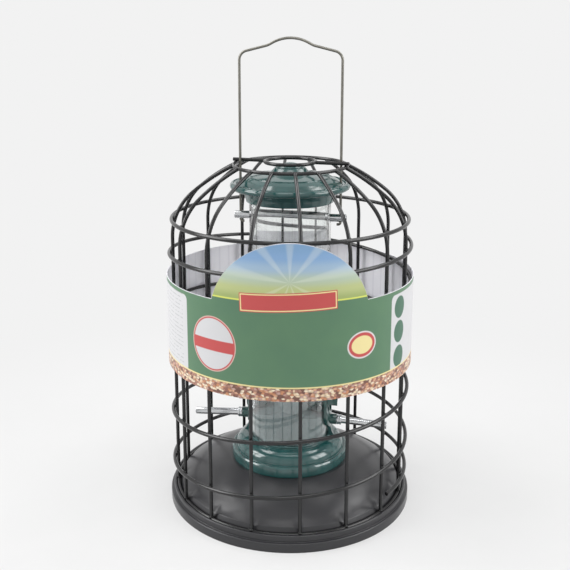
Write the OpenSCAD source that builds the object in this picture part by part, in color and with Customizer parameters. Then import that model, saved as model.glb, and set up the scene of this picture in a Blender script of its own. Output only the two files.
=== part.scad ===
// Caged tube feeder for bird seed. A clear seed tube stands on a pressed steel tray,
// inside a welded wire cage. The cage slides up the wire handle, and the lid follows it,
// so that the tube can be filled.
// Millimetres, +Z up. The origin is on the ground, on the axis of the seed tube.
// The cross tube, the ports, the perches and the handle lie along X.

/* [Cage] */
// Number of upright ribs
rib_count = 16; // [12:1:20]
// Diameter of the wire of the ribs, the bottom ring, the top ring and the crown hoop
cage_wire_d = 2.8; // [2.4:0.1:3.2]
// Radius of the circle on which the upright ribs stand
cage_r = 91; // [87:0.5:95]
// Turn of the first rib from the handle's side
rib_phase = 14.9; // [12:0.1:18]
// Height at which the ribs begin to bend inwards
rib_straight_z = 214.3; // [208:0.1:216]
// Radius of the bend at the shoulder of the ribs
rib_bend_r = 46; // [43:0.5:50]
// Angle of the bend at the shoulder of the ribs
rib_bend_a = 50; // [48:0.5:52]
// Radius of the flatter bend between the shoulder and the top ring
rib_crown_r = 146; // [140:1:160]
// Radius of the top ring's wire centre
top_ring_r = 43.5; // [42.5:0.1:45]
// Diameter of the shoulder ring's wire
shoulder_wire_d = 3; // [2.6:0.1:3.4]
// Height of the shoulder ring above the start of the rib bend
shoulder_rise = 15.2; // [12:0.1:20]
// Radius of the crown hoop round the knob
hoop_r = 19.5; // [18:0.1:21]
// Turn of the crown hoop's arms from the plane of the handle
hoop_turn = -6; // [-9:0.1:-5]
// Overhang of the hoop's arms past the top ring
hoop_overhang = 1.2; // [0.5:0.1:2]

/* [Winding] */
// Diameter of the winding's wire
wind_wire_d = 3; // [2.6:0.1:3.4]
// Height of the winding's wire centre at its lower end
wind_z = 25.6; // [22:0.1:30]
// Angle of the winding's lower end, counter-clockwise from the handle's right side
wind_start_a = -28; // [-29:0.1:-24]
// Rise of one open turn
wind_pitch = 42.9; // [38:0.1:44]
// Number of open turns between the two close ends
wind_turns = 4; // [3:1:4]
// Angle of the close turn at the lower end
wind_low_a = 218; // [180:1:240]
// Rise of the close turn at the lower end
wind_low_rise = 6; // [4:0.1:9]
// Angle of the close turn at the upper end
wind_high_a = 187.4; // [180:0.1:190]
// Rise of the close turn at the upper end
wind_high_rise = 7; // [4:0.1:9]

/* [Tray] */
// Thickness of the tray's sheet
tray_t = 0.9; // [0.7:0.1:1.1]
// Height of the outer rim wall
rim_h = 7; // [6:0.1:8]
// Width of the step from the rim wall to the raised lip
rim_w = 2.3; // [2:0.1:3.5]
// Width of the raised lip outside the cage's groove
lip_w = 2; // [1.6:0.1:2.4]
// Height of the raised lip
lip_z = 12; // [11:0.1:12.6]
// Height of the groove's floor under the cage
groove_z = 9.3; // [8.6:0.1:10]
// Width of the hem along the foot of the rim
hem_w = 2.2; // [1.6:0.1:2.6]
// Height of the dome's edge above the groove's floor
dome_edge_rise = 5.7; // [4.5:0.1:6.5]
// Run of the dome's edge from the groove
dome_edge_run = 1.8; // [1.4:0.1:2.4]
// Height of the flat land under the foot
land_z = 32; // [29:0.5:34]
// Width of the land that shows round the foot
land_margin = 2.2; // [1:0.1:4]
// Crown of the dome over its straight slope
dome_crown = 2.3; // [0:0.1:3]

/* [Foot] */
// Largest radius of the foot
foot_r = 46.8; // [44:0.1:50]
// Height of the foot's edge band
foot_band_h = 8.4; // [7:0.1:9]
// Width of the ledge between the band and the shoulder
foot_ledge_w = 2.9; // [2:0.1:4]
// Radius of the foot's shoulder
shoulder_round_r = 9.4; // [8.6:0.1:9.8]
// Height of the collar round the seed tube above the land
collar_rise = 19.5; // [17:0.1:22]
// Wall of the collar round the seed tube
collar_t = 1.4; // [1.2:0.1:2]
// Height of the seed tube's seat above the land
seat_rise = 6; // [5:0.1:7]
// Thickness of the seat's floor
seat_t = 2; // [1.6:0.1:2.6]
// Wall of the foot's shoulder and band
foot_t = 1.8; // [1.4:0.1:2.4]
// Radius of the boss round the bolt
foot_boss_r = 9; // [8:0.5:12]

/* [Seed tube] */
// Outer diameter of the seed tube
tube_d = 63.5; // [60:0.1:65]
// Wall of the seed tube
tube_t = 2; // [1.6:0.1:2.4]
// Height of the seed tube's upper edge
tube_top_z = 250; // [246:0.1:251]
// Height of the baffle's ridge above the seat
baffle_rise = 41.8; // [39:0.1:44]
// Slope of the baffle's roof towards the ports
baffle_slope = 21; // [18:0.5:24]
// Wall of the baffle
baffle_t = 1.5; // [1.2:0.1:2]

/* [Ports and perches] */
// Height of the perch's axis at the tube wall
perch_z = 63.3; // [60:0.1:66]
// Depth of the flange's lower end below the perch's axis
port_drop = 5.8; // [5.4:0.1:6.4]
// Width of the port's flange
port_w = 24; // [23:0.1:26]
// Height of the port's flange
port_h = 38.5; // [36:0.1:42]
// Thickness of the port's flange
port_t = 2.2; // [1.8:0.1:2.6]
// Height from the perch's axis to the middle of the seed hole
hole_rise = 15.8; // [15.8:0.1:18]
// Radius of the seed hole
hole_r = 8.4; // [7:0.1:8.6]
// Wall of the hood round the seed hole
hood_t = 1.4; // [1:0.1:1.8]
// Reach of the hood into the seed tube
hood_in = 14; // [9:0.1:16]
// Reach of the rain visor over the seed hole
visor_out = 6; // [4:0.1:8]
// Diameter of the boss that holds the perch
boss_d = 8.4; // [8:0.1:10]
// Length of the boss outside the tube wall
boss_l = 6.9; // [6.4:0.1:9]
// Diameter of the perch
perch_d = 5.6; // [5:0.1:6]
// Wall of the perch
perch_t = 0.8; // [0.6:0.1:1.2]
// Length of the perch from its inner end
perch_l = 46; // [40:0.5:48]
// Depth of the perch in its boss
perch_in = 5.8; // [4:0.1:5.8]
// Droop of the perch
perch_droop = 3; // [0:0.1:5]
// Diameter of the perch's bead
bead_d = 8; // [7.5:0.1:9.5]
// Length of the perch's bead
bead_l = 3.5; // [3:0.1:6]
// Thickness of the gusset under each port
gusset_t = 3; // [2:0.1:4]

/* [Lid] */
// Largest radius of the lid
lid_r = 46.4; // [45:0.1:47]
// Radius of the lid's rounded rim
lid_rim_r = 2.5; // [2.2:0.1:2.8]
// Height of the rim's centre above the tube's edge
lid_rim_rise = 4; // [3.4:0.1:4.6]
// Depth of the lid's skirt below the tube's edge
skirt_drop = 8; // [6:0.1:9]
// Radius of the skirt at its upper end
skirt_top_r = 37; // [36:0.1:37.2]
// Wall of the skirt at its lower edge
skirt_t = 1.7; // [1.4:0.1:2]
// Wall of the lid's top
lid_t = 2.2; // [1.8:0.1:2.8]
// Radius of the lid's raised disc
lid_disc_r = 31; // [29:0.1:33]
// Height of the raised disc's edge above the tube's edge
lid_disc_rise = 11.4; // [10:0.1:12]
// Depth of the step round the raised disc
lid_step = 0.7; // [0.4:0.1:1]
// Height of the boss's foot above the tube's edge
lid_boss_rise = 13; // [12.4:0.1:13.5]
// Radius of the boss at its foot
lid_boss_r = 15.5; // [14:0.1:17]
// Radius of the boss at its neck
lid_neck_r = 11.7; // [11:0.1:12]
// Height of the boss from its foot to its neck
lid_boss_h = 4.8; // [4:0.1:6]
// Radius of the knob
knob_r = 10.5; // [9:0.1:11]
// Height of the knob above the neck
knob_h = 3.7; // [3:0.1:5]

/* [Handle] */
// Diameter of the handle's wire
bail_d = 2; // [1.8:0.1:2.4]
// Half distance between the handle's legs
bail_half = 39.2; // [38.6:0.1:39.4]
// Height at which the legs end and the corners begin
bail_corner_z = 348.3; // [340:0.1:356]
// Radius of the handle's corners
bail_corner_r = 7; // [5:0.5:9]
// Slope of the handle's top
bail_slope = 14; // [12:0.5:18]
// Radius of the hump for the hook
hump_r = 29; // [26:0.5:31]
// Steepest slope of the hump
hump_slope = 31; // [28:0.5:33]
// Radius of the hollow beside the hump
hump_hollow_r = 15; // [12:0.5:18]
// Diameter of the cross tube
cross_d = 6; // [5:0.1:7]
// Wall of the cross tube
cross_t = 0.8; // [0.6:0.1:1]
// Reach of the cross tube past the legs
cross_reach = 4.6; // [4:0.1:5]
// Height of the cross tube's axis
cross_z = 229.5; // [222:0.5:233]
// Radius of the hook at the end of each leg
hook_r = 1.8; // [1.5:0.1:2.6]
// Straight length of the hook
hook_l = 1; // [0.6:0.1:1.6]

/* [Card sleeve] */
// Thickness of the card
card_t = 0.6; // [0.4:0.1:0.8]
// Height of the card's lower edge
card_z = 117.3; // [112:0.1:120]
// Height of the card's band
card_h = 69.7; // [66:0.1:76]
// Height of the arch above the band
arch_h = 44; // [30:0.5:46]
// Radius of the arch
arch_r = 56; // [54:0.1:62]
// Turn of the arch from the front towards the right
card_turn = 10; // [0:0.5:20]

/* [Base fixing] */
// Diameter of the base bolt
bolt_d = 6; // [5:0.5:6.5]
// Length of the base bolt under its head
bolt_l = 22; // [21:0.5:24]
// Width of the bolt head across its flats
bolt_head_af = 10; // [9:0.5:11]
// Height of the bolt head
bolt_head_h = 4; // [3:0.1:5]
// Radius of the washer
washer_r = 9; // [8:0.5:12]
// Thickness of the washer
washer_t = 1.2; // [1:0.1:1.6]
// Radius of the wing nut's hub
nut_r = 6; // [5.5:0.1:7]
// Height of the wing nut's hub
nut_h = 8; // [6:0.5:9]
// Reach of the wings from the axis
wing_reach = 15; // [13:0.5:17]
// Thickness of the wings
wing_t = 2.6; // [2:0.1:3.2]

/* [Clearances] */
// Gap between pieces that move past each other
move_gap = 0.3; // [0.25:0.05:0.4]
// Radial gap of a piece that is fixed in its hole
fixed_gap = 0.1; // [0.05:0.01:0.15]
// Radial gap of the wing nut on the bolt
nut_gap = 0.05; // [0.02:0.01:0.1]
// Radial gap between the lid's skirt and the seed tube
skirt_gap = 0.45; // [0.3:0.05:0.6]
// Depth to which welded wires bite into each other
weld_bite = 0.1; // [0:0.02:0.14]

/* [Hidden] */
$fn = 96;
eps = 0.01;

// Sides of a round wire, and the stand-out of a joint between two lengths of it
wire_sides = 24;
joint_extra = 0.04;
// Overrun of a cut past the faces that it opens, and the half side of a block that cuts all
cut = 1;
block = 20;
// Small bevel along an edge
bevel = 0.4;

wire_r = cage_wire_d / 2;
tube_r = tube_d / 2;
tube_in_r = tube_r - tube_t;

// Tray radii, worked out from the cage that stands in the groove
groove_out_r = cage_r + wire_r + move_gap;
groove_in_r = cage_r - wire_r - move_gap;
lip_out_r = groove_out_r + lip_w;
rim_r = lip_out_r + rim_w;
ring_z = groove_z + move_gap + wire_r;
dome_edge_r = groove_in_r - dome_edge_run;
dome_edge_z = groove_z + dome_edge_rise;
land_r = foot_r + land_margin;
rim_round_r = 0.8;
bolt_hole_r = bolt_d / 2 + fixed_gap;
// Flare of the groove's inner corner, foot of the dome, and inner outline of the sheet
groove_flare = 0.5;
dome_foot = [0.35, -1.4];
inner_shift = 0.3;
sheet_across = [0.4, 0.92];
sheet_at_edge = 1.2;

// Rib outline in the plane of radius and height
bend_c = [cage_r - rib_bend_r, rib_straight_z];
crown_c = bend_c + (rib_bend_r - rib_crown_r) * [cos(rib_bend_a), sin(rib_bend_a)];
top_ring_a = acos((top_ring_r - crown_c[0]) / rib_crown_r);
top_ring_z = crown_c[1] + rib_crown_r * sin(top_ring_a);
rib_end_a = top_ring_a - (wire_r - weld_bite) / rib_crown_r * 180 / PI;
rib_foot_z = ring_z + wire_r - weld_bite;
hoop_z = top_ring_z + cage_wire_d - weld_bite;

// Shoulder ring on the outside of the bend
shoulder_touch = rib_bend_r + wire_r + shoulder_wire_d / 2 - weld_bite;
shoulder_r = bend_c[0] + sqrt(pow(shoulder_touch, 2) - pow(shoulder_rise, 2));

// Winding on the outside of the ribs
wind_r = cage_r + wire_r + wind_wire_d / 2 - weld_bite;
wind_sides = 6;
wind_step = 180 / rib_count;
wind_blend = 30;
wind_least_a = 0.5;
wind_main_a = 360 * wind_turns;
wind_end_a = wind_start_a + wind_low_a + wind_main_a + wind_high_a;

// Heights of the foot, the tube and the baffle
seat_z = land_z + seat_rise;
collar_z = land_z + collar_rise;
collar_in_r = tube_r + fixed_gap;
collar_r = collar_in_r + collar_t;
foot_band_z = land_z + foot_band_h;
foot_round_r = 1;
ledge_overlap = 0.6;
shoulder_c = [foot_r - foot_round_r - foot_ledge_w + ledge_overlap - shoulder_round_r,
    foot_band_z - bevel];
collar_bevel = [0.5, 0.6];
// Gusset: its bite into the collar, its start under the collar's edge and its hollow back
gusset_in = 1;
gusset_drop = 6;
gusset_a = 60;
gusset_hollow = 1.2;
baffle_r = tube_in_r - fixed_gap;
ridge_z = seat_z + baffle_rise;

// Ports
hole_z = perch_z + hole_rise;
port_z = perch_z - port_drop;
port_r = tube_r + fixed_gap + port_t;
hood_r = hole_r + hood_t;
boss_x = tube_r + boss_l;
hood_x = tube_in_r - hood_in;
hood_slant = 25;
port_bite = 0.5;
boss_root = 3;
perch_end_gap = 0.2;
perch_end_t = 1;

// Lid
lid_z = tube_top_z + move_gap;
lid_rim_z = tube_top_z + lid_rim_rise;
lid_disc_z = tube_top_z + lid_disc_rise;
lid_boss_z = tube_top_z + lid_boss_rise;
lid_neck_z = lid_boss_z + lid_boss_h;
skirt_in_r = tube_r + skirt_gap;
leg_hole_r = bail_d / 2 + move_gap;
// Hollow that runs up from the rim to the slope, from the rim's centre
rim_hollow = [[-1.9, 1.7], [-3, 1.8], [-4, 2.3]];
skirt_crown = 0.8;
disc_crown = 0.3;
boss_edge = 0.5;
knob_round = 1.4;
plug_gap = 1;
boss_wall = 3;

// Handle
cross_half = bail_half + cross_reach;
corner_x = bail_half - bail_corner_r * (1 - sin(bail_slope));
hollow_x = hump_r * sin(hump_slope) + hump_hollow_r * (sin(hump_slope) - sin(bail_slope));
slope_l = (corner_x - hollow_x) / cos(bail_slope);
hook_z = cross_z - cross_d / 2 - move_gap;

// Card sleeve over the winding
card_r = wind_r + wind_wire_d / 2 + move_gap;

// Base fixing, hanging under the tray
washer_z = land_z - tray_t - washer_t;
nut_z = washer_z - move_gap - nut_h;
nut_taper = 1;
wing_root = 2;
wing_round = 4;
wing_step = 0.5;

function rib_name(i) = str("cage_rib_", i < 10 ? "0" : "", i);

// Points on an arc round a centre, from one angle to another
function arc(c, r, a0, a1, n) =
    [for (i = [0 : n]) c + r * [cos(a0 + (a1 - a0) * i / n), sin(a0 + (a1 - a0) * i / n)]];

// Points from p to q that stand out of the straight line by a crown, on the side of up
function bulge(p, q, crown, n) =
    let (side = [p[1] - q[1], q[0] - p[0]] / norm(q - p))
    [for (i = [0 : n]) p + (q - p) * i / n - side * crown * 4 * (i / n) * (1 - i / n)];

// Rounded joint between two lengths of wire, a hair thicker than the wire
module joint(d) { sphere(d = d + joint_extra, $fn = wire_sides); }

// Straight wire from here along Z; what follows starts at its end
module run(l, d, first = false) {
    if (!first) joint(d);
    cylinder(h = l, d = d, $fn = wire_sides);
    translate([0, 0, l]) children();
}

// Bend from here, towards -X (or +X with turn = 180); what follows starts at its end
module bend(r, a, d, turn = 0) {
    joint(d);
    rotate([0, 0, turn]) translate([-r, 0, 0]) {
        rotate([90, 0, 0]) rotate_extrude(angle = a) translate([r, 0]) circle(d = d, $fn = wire_sides);
        rotate([0, -a, 0]) translate([r, 0, 0]) rotate([0, 0, -turn]) children();
    }
}

// Closed ring of wire round the Z axis
module wire_ring(r, z, d) {
    translate([0, 0, z]) rotate_extrude() translate([r, 0]) circle(d = d, $fn = wire_sides);
}

// Bar along X from x0 to x1 at a height
module bar_x(x0, x1, z, r) {
    translate([x0, 0, z]) rotate([0, 90, 0]) cylinder(h = x1 - x0, r = r);
}

// Pressed steel tray: rim, step, lip, groove for the cage, dome and land
module base_tray() {
    land = [[land_r, land_z], [bolt_hole_r, land_z]];
    dome = bulge([dome_edge_r, dome_edge_z], land[0], dome_crown, 10);
    upper = concat(
        [[rim_r, 0]],
        arc([rim_r - rim_round_r, rim_h - rim_round_r], rim_round_r, 0, 90, 4),
        [[lip_out_r, rim_h]],
        arc([lip_out_r - rim_round_r, lip_z - rim_round_r], rim_round_r, 0, 90, 4),
        [[groove_out_r, lip_z - bevel], [groove_out_r, groove_z],
         [groove_in_r, groove_z], [groove_in_r - groove_flare, groove_z + bevel],
         [dome_edge_r, dome_edge_z] + dome_foot],
        dome, [land[1]]);
    lower = concat(
        [[bolt_hole_r, land_z - tray_t], [land_r - inner_shift, land_z - tray_t]],
        [for (i = [len(dome) - 2 : -1 : 1]) dome[i] - sheet_across * tray_t],
        [[dome_edge_r - tray_t, dome_edge_z - sheet_at_edge * tray_t],
         [groove_in_r - inner_shift - tray_t, groove_z - tray_t],
         [groove_out_r + bevel, groove_z - tray_t],
         [groove_out_r + bevel, rim_h - tray_t],
         [rim_r - tray_t - bevel, rim_h - tray_t],
         [rim_r - tray_t, rim_h - tray_t - bevel],
         [rim_r - tray_t, 2 * tray_t], [rim_r - hem_w, 2 * tray_t], [rim_r - hem_w, 0]]);
    color("#4b4b4d") rotate_extrude() polygon(concat(upper, lower));
}

// Bell foot that holds the seed tube, with a gusset under each port
module tube_foot() {
    band_c = [foot_r - foot_round_r, foot_band_z - foot_round_r];
    inner_r = foot_r - foot_t;
    core_r = collar_r + bevel;
    color("#4f736f") difference() {
        union() {
            rotate_extrude() polygon(concat([[0, land_z], [foot_r, land_z]],
                arc(band_c, foot_round_r, 0, 90, 4),
                arc(shoulder_c, shoulder_round_r, 2, 90, 12),
                [[collar_r, shoulder_c[1] + shoulder_round_r],
                 [collar_r, collar_z - collar_bevel[1]],
                 [collar_r - collar_bevel[0], collar_z], [0, collar_z]]));
            for (side = [0, 180]) rotate([90, 0, side])
                translate([0, 0, -gusset_t / 2]) linear_extrude(gusset_t)
                    polygon(concat([[collar_in_r - gusset_in, collar_z - gusset_drop],
                        shoulder_c + 0.6 * shoulder_round_r * [1, 1]],
                        bulge(shoulder_c
                                + (shoulder_round_r - bevel) * [cos(gusset_a), sin(gusset_a)],
                            [port_r, port_z - fixed_gap], -gusset_hollow, 6),
                        [[collar_in_r - gusset_in, port_z - fixed_gap]]));
        }
        translate([0, 0, seat_z]) cylinder(r = collar_in_r, h = port_z);
        translate([0, 0, land_z - cut]) cylinder(r = bolt_hole_r, h = seat_rise + 2 * cut);
        rotate_extrude() polygon(concat([[foot_boss_r, land_z - cut],
            [foot_boss_r, seat_z - seat_t], [core_r, seat_z - seat_t],
            [core_r, shoulder_c[1] + shoulder_round_r - foot_t]],
            arc(shoulder_c, shoulder_round_r - foot_t, 85, 5, 8),
            [[inner_r, foot_band_z - foot_t], [inner_r, land_z - cut]]));
    }
}

// Clear seed tube with holes for the ports and the cross tube
module seed_tube() {
    color([0.85, 0.9, 0.9, 0.35]) difference() {
        translate([0, 0, seat_z]) cylinder(r = tube_r, h = tube_top_z - seat_z);
        translate([0, 0, seat_z - cut]) cylinder(r = tube_in_r, h = tube_top_z - seat_z + 2 * cut);
        bar_x(-tube_r - cut, tube_r + cut, hole_z, hood_r + fixed_gap);
        bar_x(-tube_r - cut, tube_r + cut, cross_z, cross_d / 2 + fixed_gap);
    }
}

// Space under a roof whose ridge lies along Y, cut to a radius and lowered by a wall
module baffle_form(r, wall) {
    drop = r * tan(baffle_slope);
    top_z = ridge_z - wall / cos(baffle_slope);
    intersection() {
        translate([0, 0, seat_z - wall]) cylinder(r = r, h = top_z - seat_z + 2 * wall + cut);
        rotate([90, 0, 0]) translate([0, 0, -r - cut]) linear_extrude(2 * r + 2 * cut)
            polygon([[-r, seat_z - wall], [r, seat_z - wall], [r, top_z - drop], [0, top_z],
                [-r, top_z - drop]]);
    }
}

// Room for both hoods in the baffle's roof, with a wall round it
module hood_room(wall) {
    r = hood_r + fixed_gap + wall;
    x = hood_x - move_gap - wall;
    for (side = [0, 180]) rotate([0, 0, side]) bar_x(x, tube_r, hole_z, r);
}

// Roof inside the tube that turns the seed towards the ports, hollow from below
module seed_baffle() {
    color("#8fa3a0") difference() {
        baffle_form(baffle_r, 0);
        hood_room(0);
        difference() {
            baffle_form(baffle_r - baffle_t, baffle_t);
            hood_room(baffle_t);
        }
    }
}

// Outline of the port's flange, width along X and height along Y
module port_outline() {
    r = port_w / 2;
    translate([0, port_z + r]) circle(r = r);
    translate([0, port_z + port_h - r]) circle(r = r);
    translate([-r, port_z + r]) square([port_w, port_h - port_w]);
}

// Seed port on the right side: flange on the tube, hood, rain visor and perch boss
module port_body() {
    color("#456864") difference() {
        union() {
            intersection() {
                difference() {
                    translate([0, 0, port_z - cut]) cylinder(r = port_r, h = port_h + 2 * cut);
                    translate([0, 0, port_z - 2 * cut])
                        cylinder(r = tube_r + fixed_gap, h = port_h + 4 * cut);
                }
                rotate([90, 0, 90]) linear_extrude(port_r + cut) port_outline();
            }
            bar_x(hood_x, port_r - port_bite, hole_z, hood_r);
            intersection() {
                bar_x(tube_r - cut, port_r + visor_out, hole_z, hood_r);
                translate([tube_r - 2 * cut, -port_w, hole_z]) cube([block, 2 * port_w, block]);
            }
            difference() {
                bar_x(tube_r - boss_root, boss_x, perch_z, boss_d / 2);
                translate([0, 0, perch_z - boss_d]) cylinder(r = tube_r + fixed_gap, h = 2 * boss_d);
            }
        }
        bar_x(0, port_r + visor_out + cut, hole_z, hole_r);
        translate([hood_x, 0, hole_z]) rotate([0, -hood_slant, 0])
            translate([-block, -block, -2 * block]) cube([block, 2 * block, 3 * block]);
        translate([boss_x, 0, perch_z]) rotate([0, 90 + perch_droop, 0])
            translate([0, 0, -perch_in - perch_end_gap])
                cylinder(r = perch_d / 2 + fixed_gap, h = perch_in + block);
    }
}

module port_right() { port_body(); }
module port_left() { mirror([1, 0, 0]) port_body(); }

// Aluminium perch on the right side, with its bead against the boss
module perch_body() {
    color("#c9cbcc") translate([boss_x, 0, perch_z]) rotate([0, 90 + perch_droop, 0])
        difference() {
            union() {
                translate([0, 0, -perch_in]) cylinder(r = perch_d / 2, h = perch_l);
                translate([0, 0, bevel]) cylinder(d = bead_d, h = bead_l);
            }
            translate([0, 0, perch_end_t]) cylinder(r = perch_d / 2 - perch_t, h = perch_l);
        }
}

module perch_right() { perch_body(); }
module perch_left() { mirror([1, 0, 0]) perch_body(); }

// Metal tube across the seed tube that the handle hooks through
module cross_tube() {
    color("#b9bbbc") difference() {
        bar_x(-cross_half, cross_half, cross_z, cross_d / 2);
        bar_x(-cross_half - cut, cross_half + cut, cross_z, cross_d / 2 - cross_t);
        for (side = [-1, 1]) translate([side * bail_half, 0, cross_z - cross_d])
            cylinder(r = bail_d / 2 + fixed_gap, h = 2 * cross_d);
    }
}

// One bent wire: hook, leg, corner, slope, hump, and the same back down
module bail_handle() {
    leg_l = bail_corner_z - hook_z;
    corner_a = 90 - bail_slope;
    hollow_a = hump_slope - bail_slope;
    d = bail_d;
    color("#8a8883")
        translate([bail_half - hook_r - hook_l, 0, hook_z - hook_r]) rotate([0, 90, 0])
        run(hook_l, d, true) bend(hook_r, 90, d) run(leg_l, d)
        bend(bail_corner_r, corner_a, d) run(slope_l, d)
        bend(hump_hollow_r, hollow_a, d, 180) bend(hump_r, 2 * hump_slope, d)
        bend(hump_hollow_r, hollow_a, d, 180) run(slope_l, d) bend(bail_corner_r, corner_a, d)
        run(leg_l, d) bend(hook_r, 90, d) run(hook_l, d);
}

// Lid with a skirt over the tube, a rounded rim that the handle passes through, and a knob
module lid() {
    rim_c = [lid_r - lid_rim_r, lid_rim_z];
    rim_in = lid_rim_r - fixed_gap;
    knob_top_r = knob_r * knob_round;
    color("#4f736f") difference() {
        rotate_extrude() {
            polygon(concat(
                [[0, lid_z], [skirt_in_r, lid_z], [skirt_in_r, tube_top_z - skirt_drop],
                 [skirt_in_r + skirt_t, tube_top_z - skirt_drop]],
                bulge([skirt_in_r + skirt_t, tube_top_z - skirt_drop],
                    [skirt_top_r, rim_c[1] - rim_in], -skirt_crown, 5),
                [rim_c - [0, rim_in], rim_c + [0, rim_in]], [for (p = rim_hollow) rim_c + p],
                [[lid_disc_r + lid_step, lid_disc_z - lid_step], [lid_disc_r, lid_disc_z]],
                bulge([lid_disc_r, lid_disc_z], [lid_boss_r + 2 * boss_edge, lid_boss_z],
                    -disc_crown, 5),
                [[lid_boss_r, lid_boss_z + boss_edge], [lid_neck_r, lid_neck_z - boss_edge],
                 [knob_r, lid_neck_z]],
                arc([0, lid_neck_z + knob_h - knob_top_r], knob_top_r,
                    acos(1 / knob_round) + 1, 90, 6)));
            translate(rim_c) circle(r = lid_rim_r, $fn = 48);
        }
        rotate_extrude() polygon([[0, lid_z - cut], [tube_in_r - plug_gap, lid_z - cut],
            [tube_in_r - plug_gap, lid_disc_z - lid_t],
            [lid_boss_r - boss_wall, lid_boss_z - lid_t],
            [lid_neck_r - boss_wall, lid_neck_z - lid_t], [0, lid_neck_z - lid_t]]);
        for (side = [-1, 1]) translate([side * bail_half, 0, lid_rim_z - block / 2])
            cylinder(r = leg_hole_r, h = block);
    }
}

// One upright of the cage, bent inwards at the shoulder up to the top ring
module cage_rib(i) {
    d = cage_wire_d;
    color("#3c3c3e") rotate([0, 0, rib_phase + (i - 1) * 360 / rib_count])
        translate([cage_r, 0, rib_foot_z]) run(rib_straight_z - rib_foot_z, d, true)
        bend(rib_bend_r, rib_bend_a, d) bend(rib_crown_r, rib_end_a - rib_bend_a, d);
}

module cage_bottom_ring() { color("#3c3c3e") wire_ring(cage_r, ring_z, cage_wire_d); }

module cage_shoulder_ring() {
    color("#3c3c3e") wire_ring(shoulder_r, rib_straight_z + shoulder_rise, shoulder_wire_d);
}

module cage_top_ring() { color("#3c3c3e") wire_ring(top_ring_r, top_ring_z, cage_wire_d); }

// Hoop round the knob with two arms that lie on the top ring
module crown_hoop() {
    arm_end = top_ring_r + wire_r + hoop_overhang;
    color("#3c3c3e") {
        wire_ring(hoop_r, hoop_z, cage_wire_d);
        for (side = [0, 180]) rotate([0, 0, hoop_turn + side])
            translate([hoop_r, 0, hoop_z]) rotate([0, 90, 0])
                cylinder(h = arm_end - hoop_r, d = cage_wire_d, $fn = wire_sides);
    }
}

// Rise that grows from nothing to the full slope round the angle 0, without a kink
function ramp(a) =
    a < -wind_blend ? 0 : a > wind_blend ? a : pow(a + wind_blend, 2) / (4 * wind_blend);

// Height of the winding's centre at an angle t past its lower end
function wind_height(t) =
    let (low = wind_low_rise / wind_low_a, open = wind_pitch / 360,
        high = wind_high_rise / wind_high_a)
    wind_z + low * t + (open - low) * ramp(t - wind_low_a)
        + (high - open) * ramp(t - wind_low_a - wind_main_a);

// Angles of the winding's sections: both ends, each rib and halfway between ribs
wind_first_a = rib_phase + wind_step * (floor((wind_start_a - rib_phase) / wind_step) + 1);
wind_angles = concat([wind_start_a],
    [for (a = [wind_first_a : wind_step : wind_end_a - wind_least_a])
        if (a > wind_start_a + 2 * wind_least_a) a],
    [wind_end_a]);
wind_path = [for (a = wind_angles)
    [wind_r * cos(a), wind_r * sin(a), wind_height(a - wind_start_a)]];

// Least gap between the winding and itself, over half a turn away
wind_half_n = rib_count;
wind_gap = min([for (i = [0 : len(wind_path) - wind_half_n - 1])
    for (j = [i + wind_half_n : len(wind_path) - 1]) norm(wind_path[i] - wind_path[j])])
    - wind_wire_d;
echo(winding_least_gap = wind_gap);

// Wire wound round the ribs: a close turn at each end and open turns between
module cage_winding() {
    n = len(wind_angles);
    s = wind_sides;
    points = [for (i = [0 : n - 1]) for (k = [0 : s - 1])
        let (b = k * 360 / s, out = wind_r + wind_wire_d / 2 * cos(b))
        [out * cos(wind_angles[i]), out * sin(wind_angles[i]),
         wind_path[i][2] + wind_wire_d / 2 * sin(b)]];
    sides = [for (i = [0 : n - 2]) for (k = [0 : s - 1]) for (half = [0, 1])
        let (a = i * s + k, b = i * s + (k + 1) % s)
        half == 0 ? [a, b, b + s] : [a, b + s, a + s]];
    ends = [for (k = [1 : s - 2]) for (far = [0, 1])
        far == 0 ? [0, k + 1, k] : [(n - 1) * s, (n - 1) * s + k, (n - 1) * s + k + 1]];
    color("#3c3c3e") polyhedron(points = points, faces = concat(sides, ends));
}

// Printed card round the winding, with an arch that rises at the front
module card_sleeve() {
    top_z = card_z + card_h;
    reach = card_r + card_t + cut;
    color("#5c8a66") rotate([0, 0, card_turn]) intersection() {
        translate([0, 0, card_z]) rotate_extrude()
            translate([card_r, 0]) square([card_t, card_h + arch_h + cut]);
        union() {
            translate([-reach, -reach, card_z]) cube([2 * reach, 2 * reach, card_h]);
            rotate([90, 0, 0]) linear_extrude(reach) intersection() {
                translate([0, top_z + arch_h - arch_r]) circle(r = arch_r);
                translate([-reach, top_z - cut]) square([2 * reach, arch_h + 2 * cut]);
            }
        }
    }
}

// Bolt from the seat of the foot down through the tray
module base_bolt() {
    color("#a9abad") {
        translate([0, 0, seat_z]) cylinder(d = bolt_head_af / cos(30), h = bolt_head_h, $fn = 6);
        translate([0, 0, seat_z - bolt_l]) cylinder(d = bolt_d, h = bolt_l + eps);
    }
}

module bolt_washer() {
    color("#b4b6b8") difference() {
        translate([0, 0, washer_z]) cylinder(r = washer_r, h = washer_t);
        translate([0, 0, washer_z - cut]) cylinder(r = bolt_hole_r, h = washer_t + 2 * cut);
    }
}

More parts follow.
